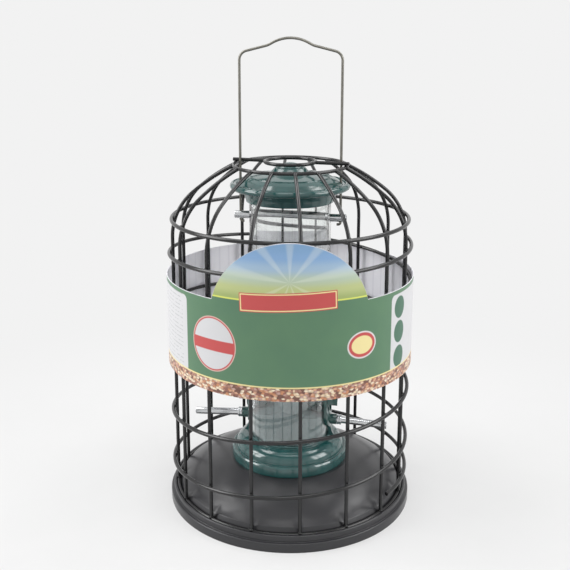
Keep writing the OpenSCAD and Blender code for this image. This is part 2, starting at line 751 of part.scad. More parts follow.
// Wing nut that holds the tray, turned by hand from below
module wing_nut() {
    color("#b4b6b8") difference() {
        union() {
            translate([0, 0, nut_z]) cylinder(r1 = nut_r - nut_taper, r2 = nut_r, h = nut_h);
            for (side = [0, 180]) rotate([90, 0, side])
                translate([0, 0, -wing_t / 2]) linear_extrude(wing_t) {
                    polygon([[wing_root, nut_z + wing_step],
                        [wing_root, nut_z + nut_h - 3 * wing_step],
                        [nut_r + 2 * wing_step, nut_z + nut_h - 3 * wing_step],
                        [wing_reach, nut_z + 2 * wing_step],
                        [wing_reach - 2 * wing_round, nut_z - 4 * wing_step]]);
                    translate([wing_reach - wing_round, nut_z - wing_step])
                        circle(r = wing_round);
                }
        }
        translate([0, 0, nut_z - block]) cylinder(r = bolt_d / 2 + nut_gap, h = nut_h + 2 * block);
    }
}

base_tray();
tube_foot();
seed_tube();
seed_baffle();
port_left();
port_right();
perch_left();
perch_right();
cross_tube();
bail_handle();
lid();
cage_bottom_ring();
cage_shoulder_ring();
cage_top_ring();
crown_hoop();
cage_winding();
card_sleeve();
base_bolt();
bolt_washer();
wing_nut();
for (i = [1 : rib_count]) cage_rib(i);
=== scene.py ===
import math

import bmesh
import bpy
from mathutils import Matrix, Vector


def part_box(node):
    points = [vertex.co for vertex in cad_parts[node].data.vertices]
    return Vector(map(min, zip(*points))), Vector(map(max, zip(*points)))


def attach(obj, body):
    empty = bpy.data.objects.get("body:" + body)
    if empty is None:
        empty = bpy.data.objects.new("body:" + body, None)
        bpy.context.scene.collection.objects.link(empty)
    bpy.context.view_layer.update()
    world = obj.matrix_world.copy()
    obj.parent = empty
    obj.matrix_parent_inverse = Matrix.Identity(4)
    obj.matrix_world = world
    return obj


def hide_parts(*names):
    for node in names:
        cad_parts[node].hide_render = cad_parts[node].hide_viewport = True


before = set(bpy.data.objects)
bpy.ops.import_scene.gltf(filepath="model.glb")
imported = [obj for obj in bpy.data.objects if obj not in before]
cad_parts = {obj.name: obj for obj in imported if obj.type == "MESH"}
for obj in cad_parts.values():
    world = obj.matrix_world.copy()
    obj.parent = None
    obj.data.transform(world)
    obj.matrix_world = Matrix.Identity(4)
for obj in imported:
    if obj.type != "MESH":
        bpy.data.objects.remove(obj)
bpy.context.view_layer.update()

# Caged tube feeder for bird seed.
# A clear seed tube stands on a pressed steel tray inside a welded wire cage.
# Lengths here are in millimetres, and MM turns them to metres in the meshes. Angles are in
# degrees. A pair of sizes is a radius and a height.

MM = 0.001
TURN = 2 * math.pi


def box_mm(node):
    """Lowest and highest corner of a solid, in millimetres."""
    low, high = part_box(node)
    return low / MM, high / MM


def ring_mm(node):
    """Radius, height and wire radius of a closed wire ring."""
    low, high = box_mm(node)
    wire_r = (high.z - low.z) / 2
    return (high.y - low.y) / 2 - wire_r, (high.z + low.z) / 2, wire_r


# Gaps, loose where a piece hangs or lifts off and close where it is fixed
LOOSE_GAP = 0.3
CLOSE_GAP = 0.1

# Sizes of the cage
CAGE_R, RING_Z, WIRE_R = ring_mm("cage_bottom_ring")
SHOULDER_R, SHOULDER_Z, SHOULDER_WIRE_R = ring_mm("cage_shoulder_ring")
TOP_RING_R, TOP_RING_Z, _ = ring_mm("cage_top_ring")
RIB_COUNT = 16
RIB_STEP = 360 / RIB_COUNT
RIB_PHASE = 14.9
RIB_STRAIGHT_Z = 214.3
RIB_BEND_R = 46
RIB_BEND_A = 50
RIB_CROWN_R = 146
WELD_BITE = 0.1
WELD_SIZE = (1.75, 1.65, 1.65)
WELD_SINK = 0.9
WELD_DROP = 0.5
HOOP_R = 19.5
HOOP_Z = TOP_RING_Z + 2 * WIRE_R - WELD_BITE
HOOP_TURN = -6
HOOP_REACH = 46.1

# Sizes of the winding
WIND_WIRE_R = 1.5
WIND_Z = 25.6
WIND_START_A = -28
WIND_PITCH = 42.9
WIND_TURNS = 4
WIND_LOW_A = 218
WIND_LOW_RISE = 6
WIND_HIGH_A = 187.4
WIND_HIGH_RISE = 7
WIND_BLEND = 30
WIND_ALL_A = WIND_LOW_A + 360 * WIND_TURNS + WIND_HIGH_A
WIND_STEP_A = 2.5
WIND_R = CAGE_R + WIRE_R + WIND_WIRE_R - WELD_BITE

# Sizes of the tray
TRAY_T = 0.9
RIM_R = box_mm("base_tray")[1].y
RIM_H = 7
LIP_R = 94.7
LIP_Z = 12
GROOVE_Z = 9.3
GROOVE_OUT_R = CAGE_R + WIRE_R + LOOSE_GAP
GROOVE_IN_R = CAGE_R - WIRE_R - LOOSE_GAP
DOME_EDGE = (87.5, 15)
DENT_HALF_W = 2.4
DENT_RUN = 8
DENT_DEPTH = 1.1
LAND_R = 49
LAND_Z = box_mm("base_tray")[1].z
DOME_CROWN = 2.3
BOLT_HOLE_R = 3.1

# Sizes of the foot, the tube and the ports
SEAT_Z = box_mm("seed_tube")[0].z
TUBE_R = box_mm("seed_tube")[1].y
TUBE_IN_R = TUBE_R - 2
TUBE_TOP_Z = box_mm("seed_tube")[1].z
FOOT_R = 46.8
COLLAR_Z = LAND_Z + 19.5
COLLAR_R = TUBE_R + 1.5
FOOT_T = 1.8
FOOT_FLOOR_T = 2
FOOT_BOSS_R = 9
GUSSET_T = 3
BAND_Z = LAND_Z + 8.4
SHOULDER_C = (34.1, LAND_Z + 8)
SHOULDER_ROUND_R = 9.4
HOLE_Z = 79.1
HOOD_R = 9.8
PORT_R = TUBE_R + 2.3
PORT_Z = 57.5
CROSS_LOW, CROSS_HIGH = box_mm("cross_tube")
CROSS_HALF = CROSS_HIGH.x
CROSS_Z = (CROSS_LOW.z + CROSS_HIGH.z) / 2
CROSS_R = (CROSS_HIGH.z - CROSS_LOW.z) / 2
CROSS_IN_R = 2.2
CROSS_HOLE_R = 1.1

# Sizes of the perches
PERCH_Z = 63.3
PERCH_DROOP = 3
PERCH_R = 2.8
PERCH_T = 0.8
PERCH_IN = 5.8
PERCH_END = 40.2
BEAD_R = 4
BOSS_X = TUBE_R + 6.9

# Sizes of the lid
LID_R = box_mm("lid")[1].y
LID_TOP_Z = box_mm("lid")[1].z
LID_RIM_R = 2.5
LID_RIM = (LID_R - LID_RIM_R, TUBE_TOP_Z + 4)
LID_DISC = (31, TUBE_TOP_Z + 11.4)
LID_BOSS_Z = TUBE_TOP_Z + 13
LID_NECK_Z = LID_TOP_Z - 3.7
LID_HOLE_R = 1.35
KNOB_CROWN_R = 16.275
KNOB_EDGE_R = 10.046

# Sizes of the handle
BAIL_R = box_mm("bail_handle")[1].y
BAIL_HALF = 39.2
BAIL_CORNER_Z = 348.3
BAIL_CORNER_R = 7
BAIL_SLOPE = 14
HUMP_R = 29
HUMP_SLOPE = 31
HUMP_HOLLOW_R = 15
HOOK_R = 1.8
HOOK_L = 1

# Sizes of the card sleeve
CARD_LOW, CARD_HIGH = box_mm("card_sleeve")
CARD_Z = CARD_LOW.z
CARD_H = 69.7
CARD_TOP_Z = CARD_HIGH.z
CARD_T = 0.6
CARD_R = CARD_HIGH.x
ARCH_R = 56
CARD_TURN = 10


# Colours and node helpers

def linear(hex_colour):
    """Linear RGBA of an sRGB hex value."""
    parts = [int(hex_colour[i:i + 2], 16) / 255 for i in (1, 3, 5)]
    return [c / 12.92 if c <= 0.04045 else ((c + 0.055) / 1.055) ** 2.4 for c in parts] + [1]


def add(tree, kind, links=None, **settings):
    """Adds a node, sets it up and links or fills its inputs."""
    made = tree.nodes.new(kind)
    for name, value in settings.items():
        setattr(made, name, value)
    for name, value in (links or {}).items():
        if isinstance(value, bpy.types.NodeSocket):
            tree.links.new(value, made.inputs[name])
        else:
            made.inputs[name].default_value = value
    return made


def new_material(name):
    """An empty material and its node tree."""
    material = bpy.data.materials.new(name)
    material.use_nodes = True
    material.node_tree.nodes.clear()
    return material, material.node_tree


def surface(tree, inputs):
    """Ends a material: one shader with these inputs, joined to the material's output."""
    shader = add(tree, "ShaderNodeBsdfPrincipled", inputs)
    add(tree, "ShaderNodeOutputMaterial", {"Surface": shader.outputs["BSDF"]})


def seen_ray(tree):
    """1 on rays that show the backdrop: from the camera, mirrored, or through clear plastic."""
    rays = add(tree, "ShaderNodeLightPath").outputs
    direct = add(tree, "ShaderNodeMath", {0: rays["Is Camera Ray"], 1: rays["Is Glossy Ray"]},
                 operation="MAXIMUM")
    either = add(tree, "ShaderNodeMath", {0: direct.outputs["Value"],
                 1: rays["Is Transmission Ray"]}, operation="MAXIMUM")
    return either.outputs["Value"]


def mottling(tree, size_mm, detail=2.0, stretch=(1, 1, 1)):
    """Uneven tone from 0 to 1 over the piece, in patches about size_mm across."""
    place = add(tree, "ShaderNodeTexCoord")
    scaled = add(tree, "ShaderNodeMapping", {"Vector": place.outputs["Object"], "Scale": stretch})
    cloud = add(tree, "ShaderNodeTexNoise", {
        "Vector": scaled.outputs["Vector"], "Scale": 1 / (size_mm * MM), "Detail": detail})
    return cloud.outputs["Fac"]


def uneven(tree, size_mm, dark, pale, detail=3.0):
    """Colour that wanders between two tones in patches, and the mottling that it follows."""
    cloud = mottling(tree, size_mm, detail)
    tone = add(tree, "ShaderNodeMix", {0: cloud, 6: linear(dark), 7: linear(pale)},
               data_type="RGBA")
    return tone.outputs[2], cloud


# Materials

def powder_coat(name, dark, pale, roughness, grain_mm):
    """Polyester powder baked on steel: even dark colour, satin sheen, faint orange peel."""
    material, tree = new_material(name)
    colour, cloud = uneven(tree, 14, dark, pale)
    rough = add(tree, "ShaderNodeMapRange", {"Value": cloud, "To Min": roughness - 0.02,
                "To Max": roughness + 0.02})
    peel = add(tree, "ShaderNodeBump", {"Height": mottling(tree, grain_mm),
               "Distance": 0.02 * MM, "Strength": 0.25})
    surface(tree, {"Base Color": colour, "Roughness": rough.outputs["Result"],
                   "IOR": 1.5, "Normal": peel.outputs["Normal"]})
    return material


def tinted_styrene(name, dark, pale, clear, coat):
    """Injection-moulded tinted styrene: high gloss, part see-through, faint flow marks."""
    material, tree = new_material(name)
    colour, flow = uneven(tree, 9, dark, pale)
    rough = add(tree, "ShaderNodeMapRange", {"Value": mottling(tree, 1.2), "To Min": 0.07,
                "To Max": 0.15})
    marks = add(tree, "ShaderNodeBump", {"Height": flow, "Distance": 0.06 * MM,
                "Strength": 0.3})
    surface(tree, {"Base Color": colour, "Roughness": rough.outputs["Result"],
                   "IOR": 1.55, "Transmission Weight": clear, "Coat Weight": coat,
                   "Coat IOR": 1.7, "Coat Roughness": 0.15, "Normal": marks.outputs["Normal"]})
    return material


def clear_tube():
    """Extruded clear polycarbonate: strong gloss, with faint draw marks along the tube."""
    material, tree = new_material("clear_extruded_polycarbonate")
    rough = add(tree, "ShaderNodeMapRange", {"Value": mottling(tree, 18, 3), "To Min": 0.015,
                "To Max": 0.05})
    marks = add(tree, "ShaderNodeBump", {"Height": mottling(tree, 2.5, 2, (1, 1, 0.02)),
                "Distance": 0.02 * MM, "Strength": 0.35})
    surface(tree, {"Base Color": linear("#fbfdfc"), "Roughness": rough.outputs["Result"],
                   "IOR": 1.58, "Transmission Weight": 1.0, "Coat Weight": 0.5,
                   "Coat IOR": 1.6, "Coat Roughness": 0.02, "Normal": marks.outputs["Normal"]})
    return material


def milky_plastic():
    """Moulded polypropylene of the baffle: grey, milky and half matt."""
    material, tree = new_material("milky_polypropylene")
    colour, cloud = uneven(tree, 6, "#7f9598", "#92a9ab")
    bloom = add(tree, "ShaderNodeBump", {"Height": cloud, "Distance": 0.05 * MM,
                "Strength": 0.3})
    surface(tree, {"Base Color": colour, "Roughness": 0.35, "IOR": 1.49,
                   "Transmission Weight": 0.15, "Normal": bloom.outputs["Normal"]})
    return material


def drawn_metal(name, dark, pale, roughness, stretch):
    """Drawn or plated metal: fine lines along the length, uneven sheen."""
    material, tree = new_material(name)
    colour, cloud = uneven(tree, 7, dark, pale)
    rough = add(tree, "ShaderNodeMapRange", {"Value": cloud, "To Min": roughness - 0.05,
                "To Max": roughness + 0.06})
    lines = add(tree, "ShaderNodeBump", {"Height": mottling(tree, 0.5, 2, stretch),
                "Distance": 0.02 * MM, "Strength": 0.2})
    surface(tree, {"Base Color": colour, "Roughness": rough.outputs["Result"],
                   "Metallic": 1.0, "Normal": lines.outputs["Normal"]})
    return material


# The printed card is drawn on its own UV maps, which are in metres. On "card", U is the length
# round the card from the middle of the arch and V the height above the card's lower edge. On
# "edge", V is the depth below the card's upper edge. The sizes here are in millimetres: a place
# is the (U, V) of a middle, and a size is half a width and half a height.
GRAIN_W = 2.4
SEED_STRIP_H = 9.6
SEED_LINE_H = 10.6
OVAL_AT, OVAL_BAR_AT = (-58, 36.5), (-58, 35.5)
BADGE_AT = (54, 37)
TITLE_AT, TITLE_TURN = (-1, 72), -0.035
LEFT_PANEL_AT, LEFT_PANEL = (-119, 36), (34, 30.5)
RIGHT_PANEL_AT, RIGHT_PANEL = (116, 36), (32.5, 30.5)
PANEL_CORNER = 4
SPOT_U, SPOT = 95, (7.5, 8.4)
SPOT_HEIGHTS = (56, 37.3, 18.2)
ROW_PITCH, ROW_INK, ROW_ENDS = 3.1, (0.9, 1.6), (-152, -91)
ARCH_HALF_U = 63
ARCH_LINE = (71.9, 73)
SKY_LOW, SKY_HIGH, SKY_TOP = 72.6, 111, 200
RAYS_FROM, RAY_COUNT = 86, 9
WHITE_EDGE = 0.25
# Pitch of the painted shade stripes that stand for creases in the board's plain side
CREASE_SHADE_PITCH = 9.5


def inside(tree, point, centre, half, corner=None, soft=0.25):
    """1 inside an ellipse, or inside a rounded rectangle where corner is given, else 0."""
    centre = [c * MM for c in centre] + [0]
    off = add(tree, "ShaderNodeVectorMath", {0: point, 1: centre}, operation="SUBTRACT")
    if corner is None:
        scaled = add(tree, "ShaderNodeVectorMath", {
            0: off.outputs["Vector"], 1: [1 / (half[0] * MM), 1 / (half[1] * MM), 0]},
            operation="MULTIPLY")
        length = add(tree, "ShaderNodeVectorMath", {0: scaled.outputs["Vector"]},
                     operation="LENGTH")
        edge = soft / min(half)
        low, high = 1 - edge, 1 + edge
    else:
        folded = add(tree, "ShaderNodeVectorMath", {0: off.outputs["Vector"]},
                     operation="ABSOLUTE")
        inner = [(h - corner) * MM for h in half] + [0]
        past = add(tree, "ShaderNodeVectorMath", {0: folded.outputs["Vector"], 1: inner},
                   operation="SUBTRACT")
        kept = add(tree, "ShaderNodeVectorMath", {0: past.outputs["Vector"], 1: [0, 0, 0]},
                   operation="MAXIMUM")
        flat = add(tree, "ShaderNodeVectorMath", {0: kept.outputs["Vector"], 1: [1, 1, 0]},
                   operation="MULTIPLY")
        length = add(tree, "ShaderNodeVectorMath", {0: flat.outputs["Vector"]},
                     operation="LENGTH")
        low, high = (corner - soft) * MM, (corner + soft) * MM
    mask = add(tree, "ShaderNodeMapRange", {"Value": length.outputs["Value"], "From Min": low,
               "From Max": high, "To Min": 1, "To Max": 0})
    return mask.outputs["Result"]


def band_mask(tree, value, low, high, soft=0.2):
    """1 where a length in millimetres lies between low and high, else 0."""
    up = add(tree, "ShaderNodeMapRange", {"Value": value, "From Min": (low - soft) * MM,
             "From Max": (low + soft) * MM})
    down = add(tree, "ShaderNodeMapRange", {"Value": value, "From Min": (high - soft) * MM,
               "From Max": (high + soft) * MM, "To Min": 1, "To Max": 0})
    both = add(tree, "ShaderNodeMath", {0: up.outputs["Result"], 1: down.outputs["Result"]},
               operation="MULTIPLY")
    return both.outputs["Value"]


def stepped_colours(tree, factor, colours, blend="CONSTANT"):
    """Colour picked from a row of colours by a factor from 0 to 1."""
    ramp = add(tree, "ShaderNodeValToRGB", {"Fac": factor})
    ramp.color_ramp.interpolation = blend
    last = len(colours) if blend == "CONSTANT" else len(colours) - 1
    stops = ramp.color_ramp.elements
    stops.remove(stops[1])
    stops[0].color = linear(colours[0])
    for i, colour in enumerate(colours[1:], 1):
        stops.new(i / last).color = linear(colour)
    return ramp.outputs["Color"]


def seed_grains(tree, point):
    """Printed seed mix: long grains of brown, orange and cream, drawn coarse enough to show."""
    laid = add(tree, "ShaderNodeMapping", {"Vector": point, "Scale": (1, 1.5, 1),
               "Rotation": (0, 0, 0.35)})
    grains = add(tree, "ShaderNodeTexVoronoi", {"Vector": laid.outputs["Vector"],
                 "Scale": 1 / (GRAIN_W * MM)}, voronoi_dimensions="2D")
    pick = add(tree, "ShaderNodeSeparateColor", {"Color": grains.outputs["Color"]})
    paint = stepped_colours(tree, pick.outputs["Red"], (
        "#b08270", "#d9a98a", "#99685a", "#e8cfae", "#7a5549", "#c98d68", "#c4a196", "#f1e0c6"))
    shade = add(tree, "ShaderNodeMapRange", {"Value": grains.outputs["Distance"],
                "From Min": 0.25, "From Max": 0.8, "To Min": 0, "To Max": 0.5})
    mixed = add(tree, "ShaderNodeMix", {0: shade.outputs["Result"], 6: paint,
                7: linear("#5d4038")}, data_type="RGBA")
    return mixed.outputs[2]


def plain_sky(tree, point, up):
    """Plain sky that fades to pale green lower down, with faint pale rays."""
    height = add(tree, "ShaderNodeMapRange", {"Value": up, "From Min": ARCH_LINE[1] * MM,
                 "From Max": SKY_HIGH * MM})
    fade = stepped_colours(tree, height.outputs["Result"],
                           ("#9fae6c", "#b9c286", "#b4c4b0", "#9fb9d0", "#84a8d0", "#7da2c8"),
                           "EASE")
    off = add(tree, "ShaderNodeVectorMath", {0: point, 1: [0, RAYS_FROM * MM, 0]},
              operation="SUBTRACT")
    parts = add(tree, "ShaderNodeSeparateXYZ", {"Vector": off.outputs["Vector"]})
    angle = add(tree, "ShaderNodeMath", {0: parts.outputs["Y"], 1: parts.outputs["X"]},
                operation="ARCTAN2")
    spokes = add(tree, "ShaderNodeMath", {0: angle.outputs["Value"], 1: RAY_COUNT},
                 operation="MULTIPLY")
    wave = add(tree, "ShaderNodeMath", {0: spokes.outputs["Value"]}, operation="SINE")
    rays = add(tree, "ShaderNodeMapRange", {"Value": wave.outputs["Value"], "From Min": 0.3,
               "From Max": 1, "To Max": 0.22}, interpolation_type="SMOOTHSTEP")
    mixed = add(tree, "ShaderNodeMix", {0: rays.outputs["Result"], 6: fade,
                7: linear("#eef2e4")}, data_type="RGBA")
    return mixed.outputs[2]


def printed_card():
    """Coated carton board, printed and varnished: flat inks, soft gloss, faint board grain."""
    material, tree = new_material("printed_carton_board")
    point = add(tree, "ShaderNodeUVMap", uv_map="card").outputs["UV"]
    parts = add(tree, "ShaderNodeSeparateXYZ", {"Vector": point})
    across, up = parts.outputs["X"], parts.outputs["Y"]
    margin = add(tree, "ShaderNodeSeparateXYZ", {
        "Vector": add(tree, "ShaderNodeUVMap", uv_map="edge").outputs["UV"]})
    colour, _ = uneven(tree, 25, "#4f755d", "#5e8461", 2)
    red, cream, white = linear("#c24e4d"), linear("#ecdd9f"), linear("#d1d1d3")

    # Broken grey rules on the left panel
    wrapped = add(tree, "ShaderNodeMath", {0: up, 1: ROW_PITCH * MM}, operation="MODULO")
    rule = band_mask(tree, wrapped.outputs["Value"], *ROW_INK)
    column = band_mask(tree, across, *ROW_ENDS)
    broken = add(tree, "ShaderNodeMapRange", {"Value": mottling(tree, 3.0, 1),
                 "From Min": 0.42, "From Max": 0.5, "To Max": 0.5})
    rows = add(tree, "ShaderNodeMath", {0: rule, 1: column}, operation="MULTIPLY")
    grey = add(tree, "ShaderNodeMath", {0: rows.outputs["Value"], 1: broken.outputs["Result"]},
               operation="MULTIPLY")
    paper = add(tree, "ShaderNodeMix", {0: grey.outputs["Value"], 6: white,
                7: linear("#8b8f90")}, data_type="RGBA")
    under_arch = band_mask(tree, across, -ARCH_HALF_U, ARCH_HALF_U)
    arch, lime = [add(tree, "ShaderNodeMath", {0: band_mask(tree, up, *heights), 1: under_arch},
                      operation="MULTIPLY") for heights in ((SKY_LOW, SKY_TOP), ARCH_LINE)]

    # Inks in the order in which they lie on each other, on a green ground
    inks = [(inside(tree, point, OVAL_AT, half), paint) for half, paint in (
        ((19.5, 20.5), linear("#d9b9ae")), ((18.8, 19.8), red), ((17.8, 18.8), white))]
    inks.append((inside(tree, point, OVAL_BAR_AT, (18, 4.2), 0.5), red))
    inks += [(inside(tree, point, BADGE_AT, half), paint) for half, paint in (
        ((12.4, 10.1), linear("#dcd6d6")), ((11.3, 9.0), red), ((9.0, 6.7), cream))]
    inks.append((inside(tree, point, LEFT_PANEL_AT, LEFT_PANEL, PANEL_CORNER), paper.outputs[2]))
    inks.append((inside(tree, point, RIGHT_PANEL_AT, RIGHT_PANEL, PANEL_CORNER), white))
    inks += [(inside(tree, point, (SPOT_U, height), SPOT), linear("#3f6b55"))
             for height in SPOT_HEIGHTS]
    inks.append((band_mask(tree, up, -2, SEED_STRIP_H), seed_grains(tree, point)))
    inks.append((band_mask(tree, up, SEED_STRIP_H, SEED_LINE_H), cream))
    inks.append((arch.outputs["Value"], plain_sky(tree, point, up)))
    inks.append((lime.outputs["Value"], linear("#d9e069")))
    tilted = add(tree, "ShaderNodeVectorRotate", {"Vector": point, "Angle": TITLE_TURN,
                 "Center": [v * MM for v in (*TITLE_AT, 0)]}, rotation_type="Z_AXIS")
    inks += [(inside(tree, tilted.outputs["Vector"], TITLE_AT, half, 0.5, 0.15), paint)
             for half, paint in (((34.6, 6.8), red), ((34.0, 6.2), cream), ((33.2, 5.4), red))]
    inks.append((band_mask(tree, margin.outputs["Y"], -1, WHITE_EDGE), white))
    for mask, paint in inks:
        colour = add(tree, "ShaderNodeMix", {0: mask, 6: colour, 7: paint},
                     data_type="RGBA").outputs[2]

    grain = add(tree, "ShaderNodeBump", {"Height": mottling(tree, 0.9), "Distance": 0.02 * MM,
                "Strength": 0.35})
    surface(tree, {"Base Color": colour, "Roughness": 0.36, "IOR": 1.5,
                   "Normal": grain.outputs["Normal"]})
    return material


def plain_board():
    """Unprinted side of the board: lilac grey and matt, with painted shade along soft creases from
    rolling it.
    """
    material, tree = new_material("uncoated_board_back")
    point = add(tree, "ShaderNodeUVMap", uv_map="card").outputs["UV"]
    parts = add(tree, "ShaderNodeSeparateXYZ", {"Vector": point})
    # Painted shade: stripes of #d2d0da at a fixed pitch darken the board where its soft creases
    # would be shaded
    wave = add(tree, "ShaderNodeMath", {0: parts.outputs["X"], 1: TURN / (CREASE_SHADE_PITCH * MM)},
               operation="MULTIPLY")
    rolled = add(tree, "ShaderNodeMath", {0: wave.outputs["Value"]}, operation="SINE")
    crease_shade = add(tree, "ShaderNodeMapRange", {"Value": rolled.outputs["Value"],
                 "From Min": 0.75, "From Max": 1, "To Max": 0.3},
                 interpolation_type="SMOOTHSTEP")
    board, _ = uneven(tree, 16, "#f1f0f6", "#f7f6fb")
    colour = add(tree, "ShaderNodeMix", {0: crease_shade.outputs["Result"], 6: board,
                 7: linear("#d2d0da")}, data_type="RGBA")
    fibre = add(tree, "ShaderNodeBump", {"Height": mottling(tree, 0.7), "Distance": 0.04 * MM,
                "Strength": 0.4})
    surface(tree, {"Base Color": colour.outputs[2], "Roughness": 0.7, "IOR": 1.45,
                   "Normal": fibre.outputs["Normal"]})
    return material


coat_wire = powder_coat("powder_coated_wire", "#141415", "#1b1b1c", 0.18, 0.5)
coat_sheet = powder_coat("powder_coated_sheet", "#2d2d2f", "#313134", 0.29, 0.6)
plastic_foot = tinted_styrene("tinted_styrene", "#1a4847", "#2f6d6b", 0.2, 0.5)
plastic_lid = tinted_styrene("tinted_styrene_lid", "#1d4442", "#2b5957", 0.06, 0.25)
plastic_port = tinted_styrene("tinted_styrene_port", "#1f4744", "#33655f", 0.25, 0.5)
plastic_clear = clear_tube()
plastic_milky = milky_plastic()
metal_perch = drawn_metal("drawn_aluminium", "#c3c5c7", "#d9dbdc", 0.2, (0.03, 1, 1))
metal_wire = drawn_metal("galvanised_wire", "#6b6963", "#88867f", 0.3, (1, 1, 0.03))
metal_zinc = drawn_metal("zinc_plate", "#a6a8aa", "#c2c3c4", 0.3, (1, 1, 0.03))
card_print = printed_card()
card_back = plain_board()


# Mesh helpers

def placed(name, data):
    """New object of the scene that holds a mesh, a lamp or a camera."""
    made = bpy.data.objects.new(name, data)
    bpy.context.scene.collection.objects.link(made)
    return made


def piece(name, mesh, body, slot, *nodes):
    """Puts a finished mesh in the scene, on its body, in place of its solids."""
    made = placed(name, mesh)
    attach(made, body)
    if nodes:
        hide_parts(*nodes)


def smooth(mesh, angle=35):
    """Smooth shading, but for edges sharper than the angle in degrees."""
    mesh.shade_smooth()
    mesh.set_sharp_from_angle(angle=math.radians(angle))
    return mesh


def built(name, bm, *materials):
    """Mesh of a bmesh, which is freed, with its materials."""
    mesh = bpy.data.meshes.new(name)
    bm.to_mesh(mesh)
    bm.free()
    for material in materials:
        mesh.materials.append(material)
    return mesh


def on_axis(mesh, start, direction):
    """Moves a mesh made about Z so that its axis starts at a point and follows a direction."""
    turn = Vector((0, 0, 1)).rotation_difference(Vector(direction)).to_matrix().to_4x4()
    mesh.transform(Matrix.Translation(Vector(start) * MM) @ turn)
    return mesh


def evaluated(made, material=None):
    """Plain mesh of an object with its modifiers applied; the object is removed."""
    bpy.context.view_layer.update()
    graph = bpy.context.evaluated_depsgraph_get()
    mesh = bpy.data.meshes.new_from_object(made.evaluated_get(graph))
    mesh.name = made.name
    bpy.data.objects.remove(made)
    if material is not None:
        mesh.materials.clear()
        mesh.materials.append(material)
    return mesh


def around(radius, a, z):
    """Point at a radius, an angle in radians and a height."""
    return radius * math.cos(a), radius * math.sin(a), z


def arc_points(centre, radius, start, end, step=6):
    """Points on an arc, angles in degrees."""
    count = max(2, math.ceil(abs(end - start) / step))
    angles = [math.radians(start + (end - start) * i / count) for i in range(count + 1)]
    return [(centre[0] + radius * math.cos(a), centre[1] + radius * math.sin(a)) for a in angles]


def crowned(p, q, crown, count):
    """Points from p to q that stand out of the straight line by a crown."""
    run, rise = q[0] - p[0], q[1] - p[1]
    length = math.hypot(run, rise)
    side = (rise / length, -run / length)
    points = []
    for i in range(count + 1):
        t = i / count
        out = crown * 4 * t * (1 - t)
        points.append((p[0] + run * t + side[0] * out, p[1] + rise * t + side[1] * out))
    return points


def rounded(outline):
    """Outline of (radius, height, corner radius) points with its corners turned into arcs."""
    points = []
    for i, (x, y, r) in enumerate(outline):
        if r <= 0 or i in (0, len(outline) - 1):
            points.append((x, y))
            continue
        here = Vector((x, y))
        back = Vector(outline[i - 1][:2]) - here
        ahead = Vector(outline[i + 1][:2]) - here
        between = back.angle(ahead)
        trim = min(r / math.tan(between / 2), back.length * 0.49, ahead.length * 0.49)
        start, end = here + back.normalized() * trim, here + ahead.normalized() * trim
        for k in range(7):
            t = k / 6
            points.append(tuple(start * (1 - t) ** 2 + here * 2 * t * (1 - t) + end * t ** 2))
    return points


def lathe(name, outline, material, steps, closed=True, angle=35, shape=None):
    """Turns an outline of (radius, height) points about the Z axis. shape may move a point."""
    bm = bmesh.new()
    rows = []
    for r, z in outline:
        if r < 1e-6:
            rows.append([bm.verts.new((0, 0, z * MM))])
            continue
        row = []
        for k in range(steps):
            a = TURN * k / steps
            radius, height = shape(r, z, a) if shape else (r, z)
            row.append(bm.verts.new(around(radius * MM, a, height * MM)))
        rows.append(row)
    pairs = list(zip(rows, rows[1:]))
    if closed:
        pairs.append((rows[-1], rows[0]))
    for low, high in pairs:
        for k in range(steps):
            n = (k + 1) % steps
            corners = [low[k % len(low)], low[n % len(low)], high[n % len(high)],
                       high[k % len(high)]]
            corners = list(dict.fromkeys(corners))
            if len(corners) > 2:
                bm.faces.new(corners)
    bmesh.ops.recalc_face_normals(bm, faces=bm.faces)
    return smooth(built(name, bm, material), angle)


def bar(name, radius, length, start, direction, steps):
    """Plain round bar as a mesh, used to cut holes."""
    bm = bmesh.new()
    bmesh.ops.create_cone(bm, cap_ends=True, segments=steps, radius1=radius * MM,
                          radius2=radius * MM, depth=length * MM,
                          matrix=Matrix.Translation((0, 0, length / 2 * MM)))
    return on_axis(built(name, bm), start, direction)


def cut(mesh, cutters):
    """Mesh with the cutter meshes taken out of it."""
    made = placed(mesh.name, mesh)
    tools = [placed("cutter", cutter) for cutter in cutters]
    for tool in tools:
        boolean = made.modifiers.new("cut", "BOOLEAN")
        boolean.operation = "DIFFERENCE"
        boolean.solver = "EXACT"
        boolean.object = tool
    result = evaluated(made, mesh.materials[0])
    for tool in tools:
        bpy.data.objects.remove(tool)
    return smooth(result)


def softened(node, material, width=0.3, angle=32):
    """Copy of a solid with its edges rounded over, for hard moulded and turned pieces."""
    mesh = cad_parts[node].data.copy()
    mesh.name = node + "_soft"
    bm = bmesh.new()
    bm.from_mesh(mesh)
    bmesh.ops.remove_doubles(bm, verts=bm.verts, dist=0.005 * MM)
    bmesh.ops.dissolve_limit(bm, angle_limit=math.radians(1), verts=bm.verts, edges=bm.edges)
    bm.to_mesh(mesh)
    bm.free()
    made = placed(mesh.name, mesh)
    bevel = made.modifiers.new("edges", "BEVEL")
    bevel.width = width * MM
    bevel.segments = 2
    bevel.limit_method = "ANGLE"
    bevel.angle_limit = math.radians(angle)
    return smooth(evaluated(made, material), 30)


# Wires and weld beads are made by one Geometry Nodes tree each

def start_tree(name, **sockets):
    """Geometry Nodes tree with named inputs, and the outputs of its input node."""
    tree = bpy.data.node_groups.new(name, "GeometryNodeTree")
    for label, kind in {"Geometry": "Geometry", **sockets, "Material": "Material"}.items():
        tree.interface.new_socket(label.replace("_", " "), in_out="INPUT",
                                  socket_type="NodeSocket" + kind)
    tree.interface.new_socket("Geometry", in_out="OUTPUT", socket_type="NodeSocketGeometry")
    return tree, add(tree, "NodeGroupInput").outputs


